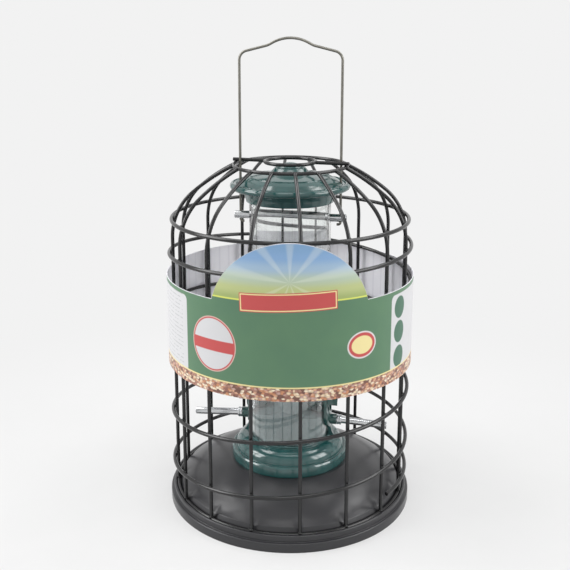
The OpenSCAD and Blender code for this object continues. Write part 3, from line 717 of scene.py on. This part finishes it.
def end_tree(tree, copies, material):
    """Turns the copies into plain mesh, shades it smooth and gives it its material."""
    real = add(tree, "GeometryNodeRealizeInstances", {"Geometry": copies.outputs["Instances"]})
    shaded = add(tree, "GeometryNodeSetShadeSmooth", {"Geometry": real.outputs["Geometry"]})
    coated = add(tree, "GeometryNodeSetMaterial", {"Geometry": shaded.outputs["Geometry"],
                 "Material": material})
    add(tree, "NodeGroupOutput", {"Geometry": coated.outputs["Geometry"]})
    return tree


def wire_tree():
    """Tree: copies of a tube along the object's own edges, set round the Z axis."""
    tree, given = start_tree("wire_on_path", Wire_radius="Float", Sides="Int", Copies="Int",
                             First_turn="Float")
    path = add(tree, "GeometryNodeMeshToCurve", {"Mesh": given["Geometry"]})
    section = add(tree, "GeometryNodeCurvePrimitiveCircle", {
        "Resolution": given["Sides"], "Radius": given["Wire radius"]})
    tube = add(tree, "GeometryNodeCurveToMesh", {"Curve": path.outputs["Curve"],
               "Profile Curve": section.outputs["Curve"], "Fill Caps": True})
    spots = add(tree, "GeometryNodePoints", {"Count": given["Copies"]})
    count = add(tree, "GeometryNodeInputIndex")
    share = add(tree, "ShaderNodeMath", {0: count.outputs["Index"], 1: given["Copies"]},
                operation="DIVIDE")
    turn = add(tree, "ShaderNodeMath", {0: share.outputs["Value"], 1: TURN,
               2: given["First turn"]}, operation="MULTIPLY_ADD")
    spin = add(tree, "ShaderNodeCombineXYZ", {"Z": turn.outputs["Value"]})
    copies = add(tree, "GeometryNodeInstanceOnPoints", {"Points": spots.outputs[0],
                 "Instance": tube.outputs["Mesh"], "Rotation": spin.outputs["Vector"]})
    return end_tree(tree, copies, given["Material"])


def weld_tree():
    """Tree: a small weld bead on each of the object's points, longest outwards."""
    tree, given = start_tree("weld_beads", Bead_radius="Float", Stretch="Vector")
    bead = add(tree, "GeometryNodeMeshUVSphere", {"Segments": 16, "Rings": 10,
               "Radius": given["Bead radius"]})
    place = add(tree, "GeometryNodeInputPosition")
    flat = add(tree, "ShaderNodeVectorMath", {0: place.outputs["Position"], 1: [1, 1, 0]},
               operation="MULTIPLY")
    aim = add(tree, "FunctionNodeAlignRotationToVector", {"Vector": flat.outputs["Vector"]},
              axis="X")
    copies = add(tree, "GeometryNodeInstanceOnPoints", {
        "Points": given["Geometry"], "Instance": bead.outputs["Mesh"],
        "Rotation": aim.outputs["Rotation"], "Scale": given["Stretch"]})
    return end_tree(tree, copies, given["Material"])


WIRES = wire_tree()
WELDS = weld_tree()


def grown(name, points, edges, tree, values):
    """Plain mesh that a Geometry Nodes tree makes of points and edges in millimetres."""
    mesh = bpy.data.meshes.new(name)
    mesh.from_pydata([(x * MM, y * MM, z * MM) for x, y, z in points], edges, [])
    made = placed(name, mesh)
    modifier = made.modifiers.new("shape", "NODES")
    modifier.node_group = tree
    for item in tree.interface.items_tree:
        if item.in_out == "INPUT" and item.name in values:
            modifier[item.identifier] = values[item.name]
    return evaluated(made)


def wire(name, path, radius, material, closed=False, copies=1, first_turn=0.0, sides=20):
    """Round wire along a path in millimetres."""
    edges = [(i, i + 1) for i in range(len(path) - 1)]
    if closed:
        edges.append((len(path) - 1, 0))
    mesh = grown(name, path, edges, WIRES, {
        "Wire radius": radius * MM, "Sides": sides, "Copies": copies,
        "First turn": math.radians(first_turn), "Material": material})
    mesh.set_sharp_from_angle(angle=math.radians(50))
    return mesh


def ring_path(radius, height, steps=160):
    """Closed path round the Z axis."""
    return [around(radius, TURN * i / steps, height) for i in range(steps)]


# Cage: ribs, rings, hoop and winding

bend_c = (CAGE_R - RIB_BEND_R, RIB_STRAIGHT_Z)
crown_c = tuple(bend_c[i] + (RIB_BEND_R - RIB_CROWN_R) * v for i, v in enumerate(
    (math.cos(math.radians(RIB_BEND_A)), math.sin(math.radians(RIB_BEND_A)))))
top_a = math.degrees(math.acos((TOP_RING_R - crown_c[0]) / RIB_CROWN_R))
end_a = top_a - math.degrees((WIRE_R - WELD_BITE) / RIB_CROWN_R)
rib_path = [(CAGE_R, 0, RING_Z + WIRE_R - WELD_BITE)]
rib_path += [(r, 0, z) for r, z in arc_points(bend_c, RIB_BEND_R, 0, RIB_BEND_A, 2)]
rib_path += [(r, 0, z) for r, z in arc_points(crown_c, RIB_CROWN_R, RIB_BEND_A, end_a, 2)[1:]]
rib_nodes = ["cage_rib_%02d" % (i + 1) for i in range(RIB_COUNT)]
piece("ribs", wire("ribs", rib_path, WIRE_R, coat_wire, copies=RIB_COUNT,
                   first_turn=RIB_PHASE), "cage", "cage_paint", *rib_nodes)
for ring, radius, height, wire_r in (
        ("cage_bottom_ring", CAGE_R, RING_Z, WIRE_R),
        ("cage_shoulder_ring", SHOULDER_R, SHOULDER_Z, SHOULDER_WIRE_R),
        ("cage_top_ring", TOP_RING_R, TOP_RING_Z, WIRE_R)):
    piece(ring + "_wire", wire(ring, ring_path(radius, height), wire_r, coat_wire, closed=True),
          "cage", "cage_paint", ring)

hoop = wire("crown_hoop", ring_path(HOOP_R, HOOP_Z, 96), WIRE_R, coat_wire, closed=True)
arms = wire("crown_arms", [(HOOP_R, 0, HOOP_Z), (HOOP_REACH, 0, HOOP_Z)], WIRE_R, coat_wire,
            copies=2, first_turn=HOOP_TURN)
piece("crown_hoop_wire", hoop, "cage", "cage_paint", "crown_hoop")
piece("crown_arms_wire", arms, "cage", "cage_paint", "crown_hoop")


def ramp(a):
    """Rise that grows from nothing to the full slope round the angle 0."""
    if a < -WIND_BLEND:
        return 0
    return a if a > WIND_BLEND else (a + WIND_BLEND) ** 2 / (4 * WIND_BLEND)


def wind_height(t):
    """Height of the winding's centre at an angle t past its lower end."""
    low = WIND_LOW_RISE / WIND_LOW_A
    climb = WIND_PITCH / 360
    high = WIND_HIGH_RISE / WIND_HIGH_A
    return (WIND_Z + low * t + (climb - low) * ramp(t - WIND_LOW_A)
            + (high - climb) * ramp(t - WIND_LOW_A - 360 * WIND_TURNS))


def wind_point(t):
    """Point on the winding's centre line."""
    return around(WIND_R, math.radians(WIND_START_A + t), wind_height(t))


wind_steps = round(WIND_ALL_A / WIND_STEP_A)
wind_path = [wind_point(WIND_ALL_A * i / wind_steps) for i in range(wind_steps + 1)]
piece("winding", wire("winding", wind_path, WIND_WIRE_R, coat_wire), "cage", "cage_paint",
      "cage_winding")

# Weld beads where the winding and the rings cross the ribs
beads = []
inward = (CAGE_R + WIRE_R * WELD_SINK) / WIND_R
first_rib = (RIB_PHASE - WIND_START_A) % RIB_STEP
for k in range(int((WIND_ALL_A - first_rib) / RIB_STEP) + 1):
    x, y, z = wind_point(first_rib + k * RIB_STEP)
    beads.append((x * inward, y * inward, z))
shoulder_rise = SHOULDER_Z - RIB_STRAIGHT_Z
rib_r = bend_c[0] + math.sqrt((RIB_BEND_R + WIRE_R) ** 2 - shoulder_rise ** 2)
for k in range(RIB_COUNT):
    a = math.radians(RIB_PHASE + k * RIB_STEP)
    beads += [around(rib_r, a, SHOULDER_Z), around(TOP_RING_R + WIRE_R, a, TOP_RING_Z - WELD_DROP),
              around(CAGE_R, a, RING_Z + WIRE_R)]
piece("weld_beads", grown("weld_beads", beads, [], WELDS, {
    "Bead radius": MM, "Stretch": WELD_SIZE, "Material": coat_wire}), "cage", "cage_paint")


# Tray

def dented(r, z, a):
    """The dome's edge is pressed in a little at each rib."""
    if r > GROOVE_IN_R or r < DOME_EDGE[0] - DENT_RUN or z < GROOVE_Z:
        return r, z
    off = (math.degrees(a) - RIB_PHASE + RIB_STEP / 2) % RIB_STEP - RIB_STEP / 2
    narrow = math.exp(-(math.radians(off) * r / DENT_HALF_W) ** 2)
    near = 1 - max(0.0, DOME_EDGE[0] - r) / DENT_RUN
    return r, z - DENT_DEPTH * narrow * near ** 2


dome = crowned((LAND_R, LAND_Z), DOME_EDGE, -DOME_CROWN, 22)
upper = rounded([(RIM_R, 0, 0), (RIM_R, RIM_H, 0.9), (LIP_R, RIM_H, 0.4), (LIP_R, LIP_Z, 0.9),
                 (GROOVE_OUT_R, LIP_Z, 0.7), (GROOVE_OUT_R, GROOVE_Z, 0.3),
                 (GROOVE_IN_R, GROOVE_Z, 0.3), (GROOVE_IN_R - 0.4, GROOVE_Z + 2.4, 0.6),
                 (DOME_EDGE[0], DOME_EDGE[1], 0.8), (*dome[-3], 0), (0, 0, 0)])[:-1]
upper += reversed(dome[1:-3])
upper += rounded([(*dome[1], 0), (LAND_R, LAND_Z, 1.5), (LAND_R - 8, LAND_Z, 0)])[1:]
upper.append((BOLT_HOLE_R, LAND_Z))
lower = [(BOLT_HOLE_R, LAND_Z - TRAY_T), (LAND_R - 0.3, LAND_Z - TRAY_T)]
lower += [(r - 0.4 * TRAY_T, z - 0.92 * TRAY_T) for r, z in dome[1:-1]]
lower += [(DOME_EDGE[0] - TRAY_T, DOME_EDGE[1] - 1.3 * TRAY_T),
          (GROOVE_IN_R - 1.3, GROOVE_Z - TRAY_T), (LIP_R - 1.6, GROOVE_Z - TRAY_T),
          (LIP_R - 1.6, RIM_H - TRAY_T), (RIM_R - TRAY_T, RIM_H - TRAY_T),
          (RIM_R - TRAY_T, 1.8), (RIM_R - 2.2, 1.8), (RIM_R - 2.2, 0)]
piece("tray", lathe("tray", upper + lower, coat_sheet, steps=480, angle=40, shape=dented),
      "feeder", "tray_paint", "base_tray")


# Foot with its collar and a gusset under each port

def gusset(side):
    """Thin web from the foot's shoulder up to the port's flange."""
    start = (SHOULDER_C[0] + 4.5, SHOULDER_C[1] + 7.8)
    outline = [(TUBE_R - 0.5, COLLAR_Z - 6), (SHOULDER_C[0] + 5.6, SHOULDER_C[1] + 5.6)]
    outline += crowned(start, (PORT_R, PORT_Z - 0.1), -1.2, 10)
    outline += [(TUBE_R - 0.5, PORT_Z - 0.1)]
    bm = bmesh.new()
    rows = [[bm.verts.new((side * x * MM, y * MM, z * MM)) for x, z in outline]
            for y in (-GUSSET_T / 2, GUSSET_T / 2)]
    for row in rows:
        bm.faces.new(row)
    for i in range(len(outline)):
        n = (i + 1) % len(outline)
        bm.faces.new((rows[0][i], rows[0][n], rows[1][n], rows[1][i]))
    bmesh.ops.recalc_face_normals(bm, faces=bm.faces)
    edges = [e for e in bm.edges if abs(e.verts[0].co.y - e.verts[1].co.y) < MM]
    bmesh.ops.bevel(bm, geom=edges, offset=0.45 * MM, segments=2, affect="EDGES")
    return smooth(built("gusset", bm, plastic_foot))


core_r = COLLAR_R + 0.4
shoulder_top_z = SHOULDER_C[1] + SHOULDER_ROUND_R
foot_outline = rounded([(TUBE_R, COLLAR_Z, 0), (TUBE_R, SEAT_Z, 0.3), (BOLT_HOLE_R, SEAT_Z, 0),
                        (BOLT_HOLE_R, LAND_Z, 0), (FOOT_BOSS_R, LAND_Z, 0.3),
                        (FOOT_BOSS_R, SEAT_Z - FOOT_FLOOR_T, 0.5),
                        (core_r, SEAT_Z - FOOT_FLOOR_T, 0.5),
                        (core_r, shoulder_top_z - FOOT_T, 0)])
foot_outline += arc_points(SHOULDER_C, SHOULDER_ROUND_R - FOOT_T, 85, 5)
foot_outline += rounded([(SHOULDER_C[0] + SHOULDER_ROUND_R - FOOT_T, BAND_Z - FOOT_T - 0.3, 0),
                         (FOOT_R - FOOT_T, BAND_Z - FOOT_T, 0.5), (FOOT_R - FOOT_T, LAND_Z, 0.2),
                         (FOOT_R - 0.2, LAND_Z, 0.3), (FOOT_R, LAND_Z + 1.2, 0.6),
                         (FOOT_R - 0.1, BAND_Z - 1.4, 0.5), (FOOT_R - 0.9, BAND_Z, 0.6),
                         (FOOT_R - 2.1, BAND_Z + 0.05, 0.4), (FOOT_R - 2.7, BAND_Z - 0.45, 0.4),
                         (SHOULDER_C[0] + SHOULDER_ROUND_R - 0.02, SHOULDER_C[1] + 0.5, 0)])
foot_outline += arc_points(SHOULDER_C, SHOULDER_ROUND_R, 7, 86, 4)
foot_outline += rounded([(SHOULDER_C[0] + 0.6, shoulder_top_z, 0), (COLLAR_R, shoulder_top_z, 0.4),
                         (COLLAR_R, COLLAR_Z - 1.2, 0.3), (COLLAR_R + 0.3, COLLAR_Z - 0.8, 0.3),
                         (COLLAR_R + 0.15, COLLAR_Z, 0.35), (TUBE_R, COLLAR_Z, 0)])[:-1]
piece("foot", lathe("foot", foot_outline, plastic_foot, steps=256), "feeder", "tinted_plastic",
      "tube_foot")
for side, name in ((1, "gusset_right"), (-1, "gusset_left")):
    piece(name, gusset(side), "feeder", "tinted_plastic", "tube_foot")


# Clear seed tube, baffle and cross tube

tube_out_r = TUBE_R - CLOSE_GAP / 2
tube_outline = rounded([(TUBE_IN_R, SEAT_Z, 0), (tube_out_r, SEAT_Z, 0.3),
                        (tube_out_r, TUBE_TOP_Z, 0.5), (TUBE_IN_R, TUBE_TOP_Z, 0.5),
                        (TUBE_IN_R, SEAT_Z, 0)])
tube_mesh = lathe("tube", tube_outline[:-1], plastic_clear, steps=256)
tube_holes = [bar("hole", radius + CLOSE_GAP, 3 * TUBE_R, (-1.5 * TUBE_R, 0, height), (1, 0, 0),
                  steps) for radius, height, steps in ((HOOD_R, HOLE_Z, 96), (CROSS_R, CROSS_Z, 64))]
piece("tube", cut(tube_mesh, tube_holes), "feeder", "clear_plastic", "seed_tube")

piece("baffle", softened("seed_baffle", plastic_milky, 0.5), "feeder", "baffle_plastic",
      "seed_baffle")

cross_outline = rounded([(CROSS_IN_R, 0, 0), (CROSS_R, 0, 0.35),
                         (CROSS_R, 2 * CROSS_HALF, 0.35), (CROSS_IN_R, 2 * CROSS_HALF, 0)])
cross_mesh = on_axis(lathe("cross", cross_outline, metal_perch, steps=64),
                     (-CROSS_HALF, 0, CROSS_Z), (1, 0, 0))
cross_holes = [bar("leg_hole", CROSS_HOLE_R, 4 * CROSS_R, (x, 0, CROSS_Z - 2 * CROSS_R), (0, 0, 1),
                   32) for x in (-BAIL_HALF, BAIL_HALF)]
piece("cross", cut(cross_mesh, cross_holes), "feeder", "perch_metal", "cross_tube")

# Perches, which are drawn tube with a rolled bead against the boss, and ports
perch_outline = rounded([(0, -PERCH_IN, 0), (PERCH_R, -PERCH_IN, 0.2), (PERCH_R, 0.4, 0.1),
                         (BEAD_R, 0.4, 0.4), (BEAD_R, 1.7, 0.3), (BEAD_R - 0.35, 2.0, 0.2),
                         (BEAD_R - 0.35, 2.3, 0.2), (BEAD_R, 2.6, 0.3), (BEAD_R, 3.9, 0.4),
                         (PERCH_R, 3.9, 0.2), (PERCH_R, PERCH_END, 0.25),
                         (PERCH_R - PERCH_T, PERCH_END, 0.2), (PERCH_R - PERCH_T, 1, 0.1),
                         (0, 1, 0)])
droop = math.radians(PERCH_DROOP)
for side, name in ((1, "right"), (-1, "left")):
    aim = (side * math.cos(droop), 0, -math.sin(droop))
    mesh = on_axis(lathe("perch_" + name, perch_outline, metal_perch, steps=64, closed=False),
                   (side * BOSS_X, 0, PERCH_Z), aim)
    piece("perch_tube_" + name, mesh, "feeder", "perch_metal", "perch_" + name)
    piece("port_moulding_" + name, softened("port_" + name, plastic_port), "feeder",
          "tinted_plastic", "port_" + name)

# Base fixing under the tray
for node in ("base_bolt", "bolt_washer"):
    piece(node + "_plated", softened(node, metal_zinc, 0.2), "feeder", "zinc_hardware", node)
piece("wing_nut_plated", softened("wing_nut", metal_zinc, 0.35), "wing_nut", "zinc_hardware",
      "wing_nut")


# Handle: one bent wire

def bail_path():
    """Right half of the handle's centre line from hook to crest, then its mirror image."""
    slope, hump = math.radians(BAIL_SLOPE), math.radians(HUMP_SLOPE)
    hook_z = CROSS_Z - CROSS_R - LOOSE_GAP
    points = [(BAIL_HALF - HOOK_R - HOOK_L, hook_z - HOOK_R)]
    points += arc_points((BAIL_HALF - HOOK_R, hook_z), HOOK_R, -90, 0, 10)
    points += arc_points((BAIL_HALF - BAIL_CORNER_R, BAIL_CORNER_Z), BAIL_CORNER_R, 0,
                         90 - BAIL_SLOPE, 6)
    hollow_x = HUMP_R * math.sin(hump) + HUMP_HOLLOW_R * (math.sin(hump) - math.sin(slope))
    start_z = points[-1][1] + (points[-1][0] - hollow_x) * math.tan(slope)
    centre = (hollow_x + HUMP_HOLLOW_R * math.sin(slope), start_z + HUMP_HOLLOW_R * math.cos(slope))
    points += arc_points(centre, HUMP_HOLLOW_R, 270 - BAIL_SLOPE, 270 - HUMP_SLOPE, 3)
    crest_z = box_mm("bail_handle")[1].z - BAIL_R
    points += arc_points((0, crest_z - HUMP_R), HUMP_R, 90 - HUMP_SLOPE, 90, 3)[1:]
    whole = points + [(-x, z) for x, z in reversed(points[:-1])]
    return [(x, 0, z) for x, z in whole]


piece("handle", wire("handle", bail_path(), BAIL_R, metal_wire, sides=16), "feeder",
      "handle_wire", "bail_handle")


# Lid

disc_r, disc_z = LID_DISC
knob_a = math.degrees(math.acos(KNOB_EDGE_R / KNOB_CROWN_R))
lid_outline = [(0, LID_TOP_Z)]
lid_outline += reversed(arc_points((0, LID_TOP_Z - KNOB_CROWN_R), KNOB_CROWN_R, knob_a, 88, 5))
lid_outline += rounded([(9.6, LID_NECK_Z + 1.7, 0), (10.6, LID_NECK_Z + 0.9, 0.5),
                        (10.6, LID_NECK_Z, 0.3), (11.9, LID_NECK_Z - 0.2, 0.5),
                        (15.5, LID_BOSS_Z + 0.4, 1.4), (18, LID_BOSS_Z - 0.1, 1),
                        (disc_r - 0.2, disc_z + 0.05, 0.5), (disc_r + 0.1, disc_z - 0.9, 0.25),
                        (disc_r + 1, disc_z - 0.9, 0.3), (36, TUBE_TOP_Z + 8.8, 2),
                        (40.1, TUBE_TOP_Z + 6.2, 0.6), (40.8, TUBE_TOP_Z + 5.5, 0.3),
                        (41.6, TUBE_TOP_Z + 5.5, 0.3), (LID_RIM[0] - 1.5, LID_RIM[1] + 2.0, 0)])
lid_outline += arc_points(LID_RIM, LID_RIM_R, 120, -105)
lid_outline += rounded([(LID_RIM[0] - 2.3, LID_RIM[1] - 1.6, 0), (37.4, TUBE_TOP_Z + 2.2, 0.8),
                        (36.9, TUBE_TOP_Z + 0.5, 0.6), (35.4, TUBE_TOP_Z - 3.2, 2),
                        (34.0, TUBE_TOP_Z - 8, 0.5), (32.25, TUBE_TOP_Z - 8, 0.4),
                        (32.25, TUBE_TOP_Z + LOOSE_GAP, 0.4),
                        (28.8, TUBE_TOP_Z + LOOSE_GAP, 0.3),
                        (28.8, disc_z - 2.1, 0.8), (13, LID_BOSS_Z - 2.2, 1),
                        (8.8, LID_NECK_Z - 2, 0.8), (0, LID_NECK_Z - 2, 0)])
lid_mesh = lathe("lid", lid_outline, plastic_lid, steps=256, closed=False)
lid_holes = [bar("leg_hole", LID_HOLE_R, 16, (x, 0, TUBE_TOP_Z - 4), (0, 0, 1), 48)
             for x in (-BAIL_HALF, BAIL_HALF)]
piece("lid_moulding", cut(lid_mesh, lid_holes), "lid", "tinted_plastic", "lid")


# Card sleeve: printed outside, plain inside, with the arch at the front

def card_top(a):
    """Height of the card's upper edge above its lower edge, at an angle from the arch's middle."""
    centre_z = CARD_TOP_Z - ARCH_R - CARD_Z
    x = CARD_R * math.sin(a)
    if math.cos(a) <= 0 or abs(x) >= ARCH_R:
        return CARD_H
    return max(CARD_H, centre_z + math.sqrt(ARCH_R ** 2 - x ** 2))


def card_mesh(columns=1440, rows=16):
    """Closed sheet round the winding, with its UV map in metres."""
    bm = bmesh.new()
    uv = bm.loops.layers.uv.new("card")
    edge = bm.loops.layers.uv.new("edge")
    grid = {}
    for c in range(columns):
        a = TURN * c / columns - math.pi
        turn = a - math.pi / 2 + math.radians(CARD_TURN)
        top = card_top(a)
        for r in range(rows + 1):
            z = CARD_Z + top * r / rows
            for s, radius in enumerate((CARD_R - CARD_T, CARD_R)):
                grid[c, r, s] = bm.verts.new(around(radius * MM, turn, z * MM))
    for c in range(columns):
        n = (c + 1) % columns
        quads = [((c, r, 1), (n, r, 1), (n, r + 1, 1), (c, r + 1, 1)) for r in range(rows)]
        quads += [((n, r, 0), (c, r, 0), (c, r + 1, 0), (n, r + 1, 0)) for r in range(rows)]
        quads += [((c, rows, 1), (n, rows, 1), (n, rows, 0), (c, rows, 0)),
                  ((n, 0, 1), (c, 0, 1), (c, 0, 0), (n, 0, 0))]
        for corners in quads:
            face = bm.faces.new([grid[k] for k in corners])
            outer = all(k[2] == 1 for k in corners)
            face.material_index = 0 if outer else 1
            face.smooth = outer or all(k[2] == 0 for k in corners)
            for loop, (col, _, _) in zip(face.loops, corners):
                # At the seam, column 0 is the far end of the map
                a = TURN * (columns if col == n == 0 else col) / columns - math.pi
                height = loop.vert.co.z / MM - CARD_Z
                loop[uv].uv = (a * CARD_R * MM, height * MM)
                loop[edge].uv = (0, (card_top(a) - height) * MM)
    bmesh.ops.recalc_face_normals(bm, faces=bm.faces)
    mesh = built("card", bm, card_print, card_back)
    mesh.set_sharp_from_angle(angle=math.radians(35))
    return mesh


piece("card", card_mesh(), "cage", "printed_card", "card_sleeve")


# Floor, light and camera

# Angles are in degrees, and lengths in metres. The floor fades into the backdrop between two
# distances from the object, and its shadow keeps a share of its depth.
BACKDROP = "#f2f2f2"
FLOOR_HALF = 20
FLOOR_FADE = (0.12, 0.5)
FLOOR_SHADOW = 0.55
WORLD_LIGHT = 0.45
LAMP_DISTANCE = 1.5
CAMERA_AZIMUTH = 10.675
CAMERA_PITCH = 12.69
CAMERA_DISTANCE = 0.6866
CAMERA_AIM_Z = 0.2200
CAMERA_AIM_RIGHT = -0.0066
SENSOR_MM = 36
FOCAL_PX = 882.7
FRAME_PX = 570
SHIFT = (0.006, -0.10)


def pale_floor():
    """Seamless pale studio paper: matt, with a faint grain; its far part is plain backdrop."""
    material, tree = new_material("studio_paper")
    place = add(tree, "ShaderNodeTexCoord")
    far = add(tree, "ShaderNodeVectorMath", {0: place.outputs["Object"]}, operation="LENGTH")
    near = add(tree, "ShaderNodeMapRange", {"Value": far.outputs["Value"],
               "From Min": FLOOR_FADE[0], "From Max": FLOOR_FADE[1], "To Min": FLOOR_SHADOW,
               "To Max": 0.0}, interpolation_type="SMOOTHSTEP")
    tone, _ = uneven(tree, 30, "#dadada", "#dedede", 2)
    matt = add(tree, "ShaderNodeBsdfDiffuse", {"Color": tone})
    glow = add(tree, "ShaderNodeEmission", {"Color": linear(BACKDROP), "Strength": 1.0})
    seen = add(tree, "ShaderNodeMixShader", {"Fac": near.outputs["Result"],
               1: glow.outputs["Emission"], 2: matt.outputs["BSDF"]})
    shader = add(tree, "ShaderNodeMixShader", {"Fac": seen_ray(tree), 1: matt.outputs["BSDF"],
                 2: seen.outputs["Shader"]})
    add(tree, "ShaderNodeOutputMaterial", {"Surface": shader.outputs["Shader"]})
    return material


corners = [(x * FLOOR_HALF, y * FLOOR_HALF, 0) for x, y in ((-1, -1), (1, -1), (1, 1), (-1, 1))]
floor_mesh = bpy.data.meshes.new("floor")
floor_mesh.from_pydata(corners, [], [(0, 1, 2, 3)])
floor_mesh.materials.append(pale_floor())
floor = placed("floor", floor_mesh)

world = bpy.data.worlds.new("studio")
bpy.context.scene.world = world
world.use_nodes = True
world.node_tree.nodes.clear()
sky = world.node_tree
level = add(sky, "ShaderNodeMapRange", {"Value": seen_ray(sky), "To Min": WORLD_LIGHT,
            "To Max": 1.0})
light = add(sky, "ShaderNodeBackground", {"Color": linear(BACKDROP),
            "Strength": level.outputs["Result"]})
add(sky, "ShaderNodeOutputWorld", {"Surface": light.outputs["Background"]})


def look(made, place, direction):
    """Puts a lamp or the camera at a place, pointed along a direction."""
    made.location = place
    made.rotation_mode = "QUATERNION"
    made.rotation_quaternion = direction.to_track_quat("-Z", "Y")


# Softboxes: name, angle from the camera's side, height angle, size and power in watts. Two beside
# the object light its sides, two weaker ones behind it edge the wires and the tray, and one high
# in front lights the inside of the card and the top of the wires.
LAMPS = (
    ("left_box", -80, 24, (0.8, 0.85), 12.5),
    ("right_box", 68, 24, (0.8, 0.85), 10.5),
    ("left_back_box", -112, 56, (0.7, 0.7), 8),
    ("right_back_box", 115, 54, (0.7, 0.7), 7),
    ("front_box", 0, 66, (0.9, 0.6), 5.5),
)
MIDDLE = Vector((0, 0, 0.15))
for name, turn, rise, size, power in LAMPS:
    way, lift = math.radians(turn + CAMERA_AZIMUTH - 90), math.radians(rise)
    back = LAMP_DISTANCE * Vector(around(math.cos(lift), way, math.sin(lift)))
    lamp = bpy.data.lights.new(name, "AREA")
    lamp.shape = "RECTANGLE"
    lamp.size, lamp.size_y = size
    lamp.energy = power
    look(placed(name, lamp), MIDDLE + back, -back)

# Camera: in front, a little to the right and above, as the photograph was taken
azimuth, pitch = math.radians(CAMERA_AZIMUTH), math.radians(CAMERA_PITCH)
right = Vector((math.cos(azimuth), math.sin(azimuth), 0))
ahead = Vector((-math.sin(azimuth) * math.cos(pitch), math.cos(azimuth) * math.cos(pitch),
                -math.sin(pitch)))
camera_data = bpy.data.cameras.new("camera")
camera_data.sensor_width = SENSOR_MM
camera_data.lens = FOCAL_PX / FRAME_PX * SENSOR_MM
camera_data.shift_x, camera_data.shift_y = SHIFT
camera = placed("camera", camera_data)
look(camera, Vector((0, 0, CAMERA_AIM_Z)) + right * CAMERA_AIM_RIGHT - ahead * CAMERA_DISTANCE,
     ahead)
bpy.context.scene.camera = camera
bpy.context.scene.view_settings.view_transform = "Standard"
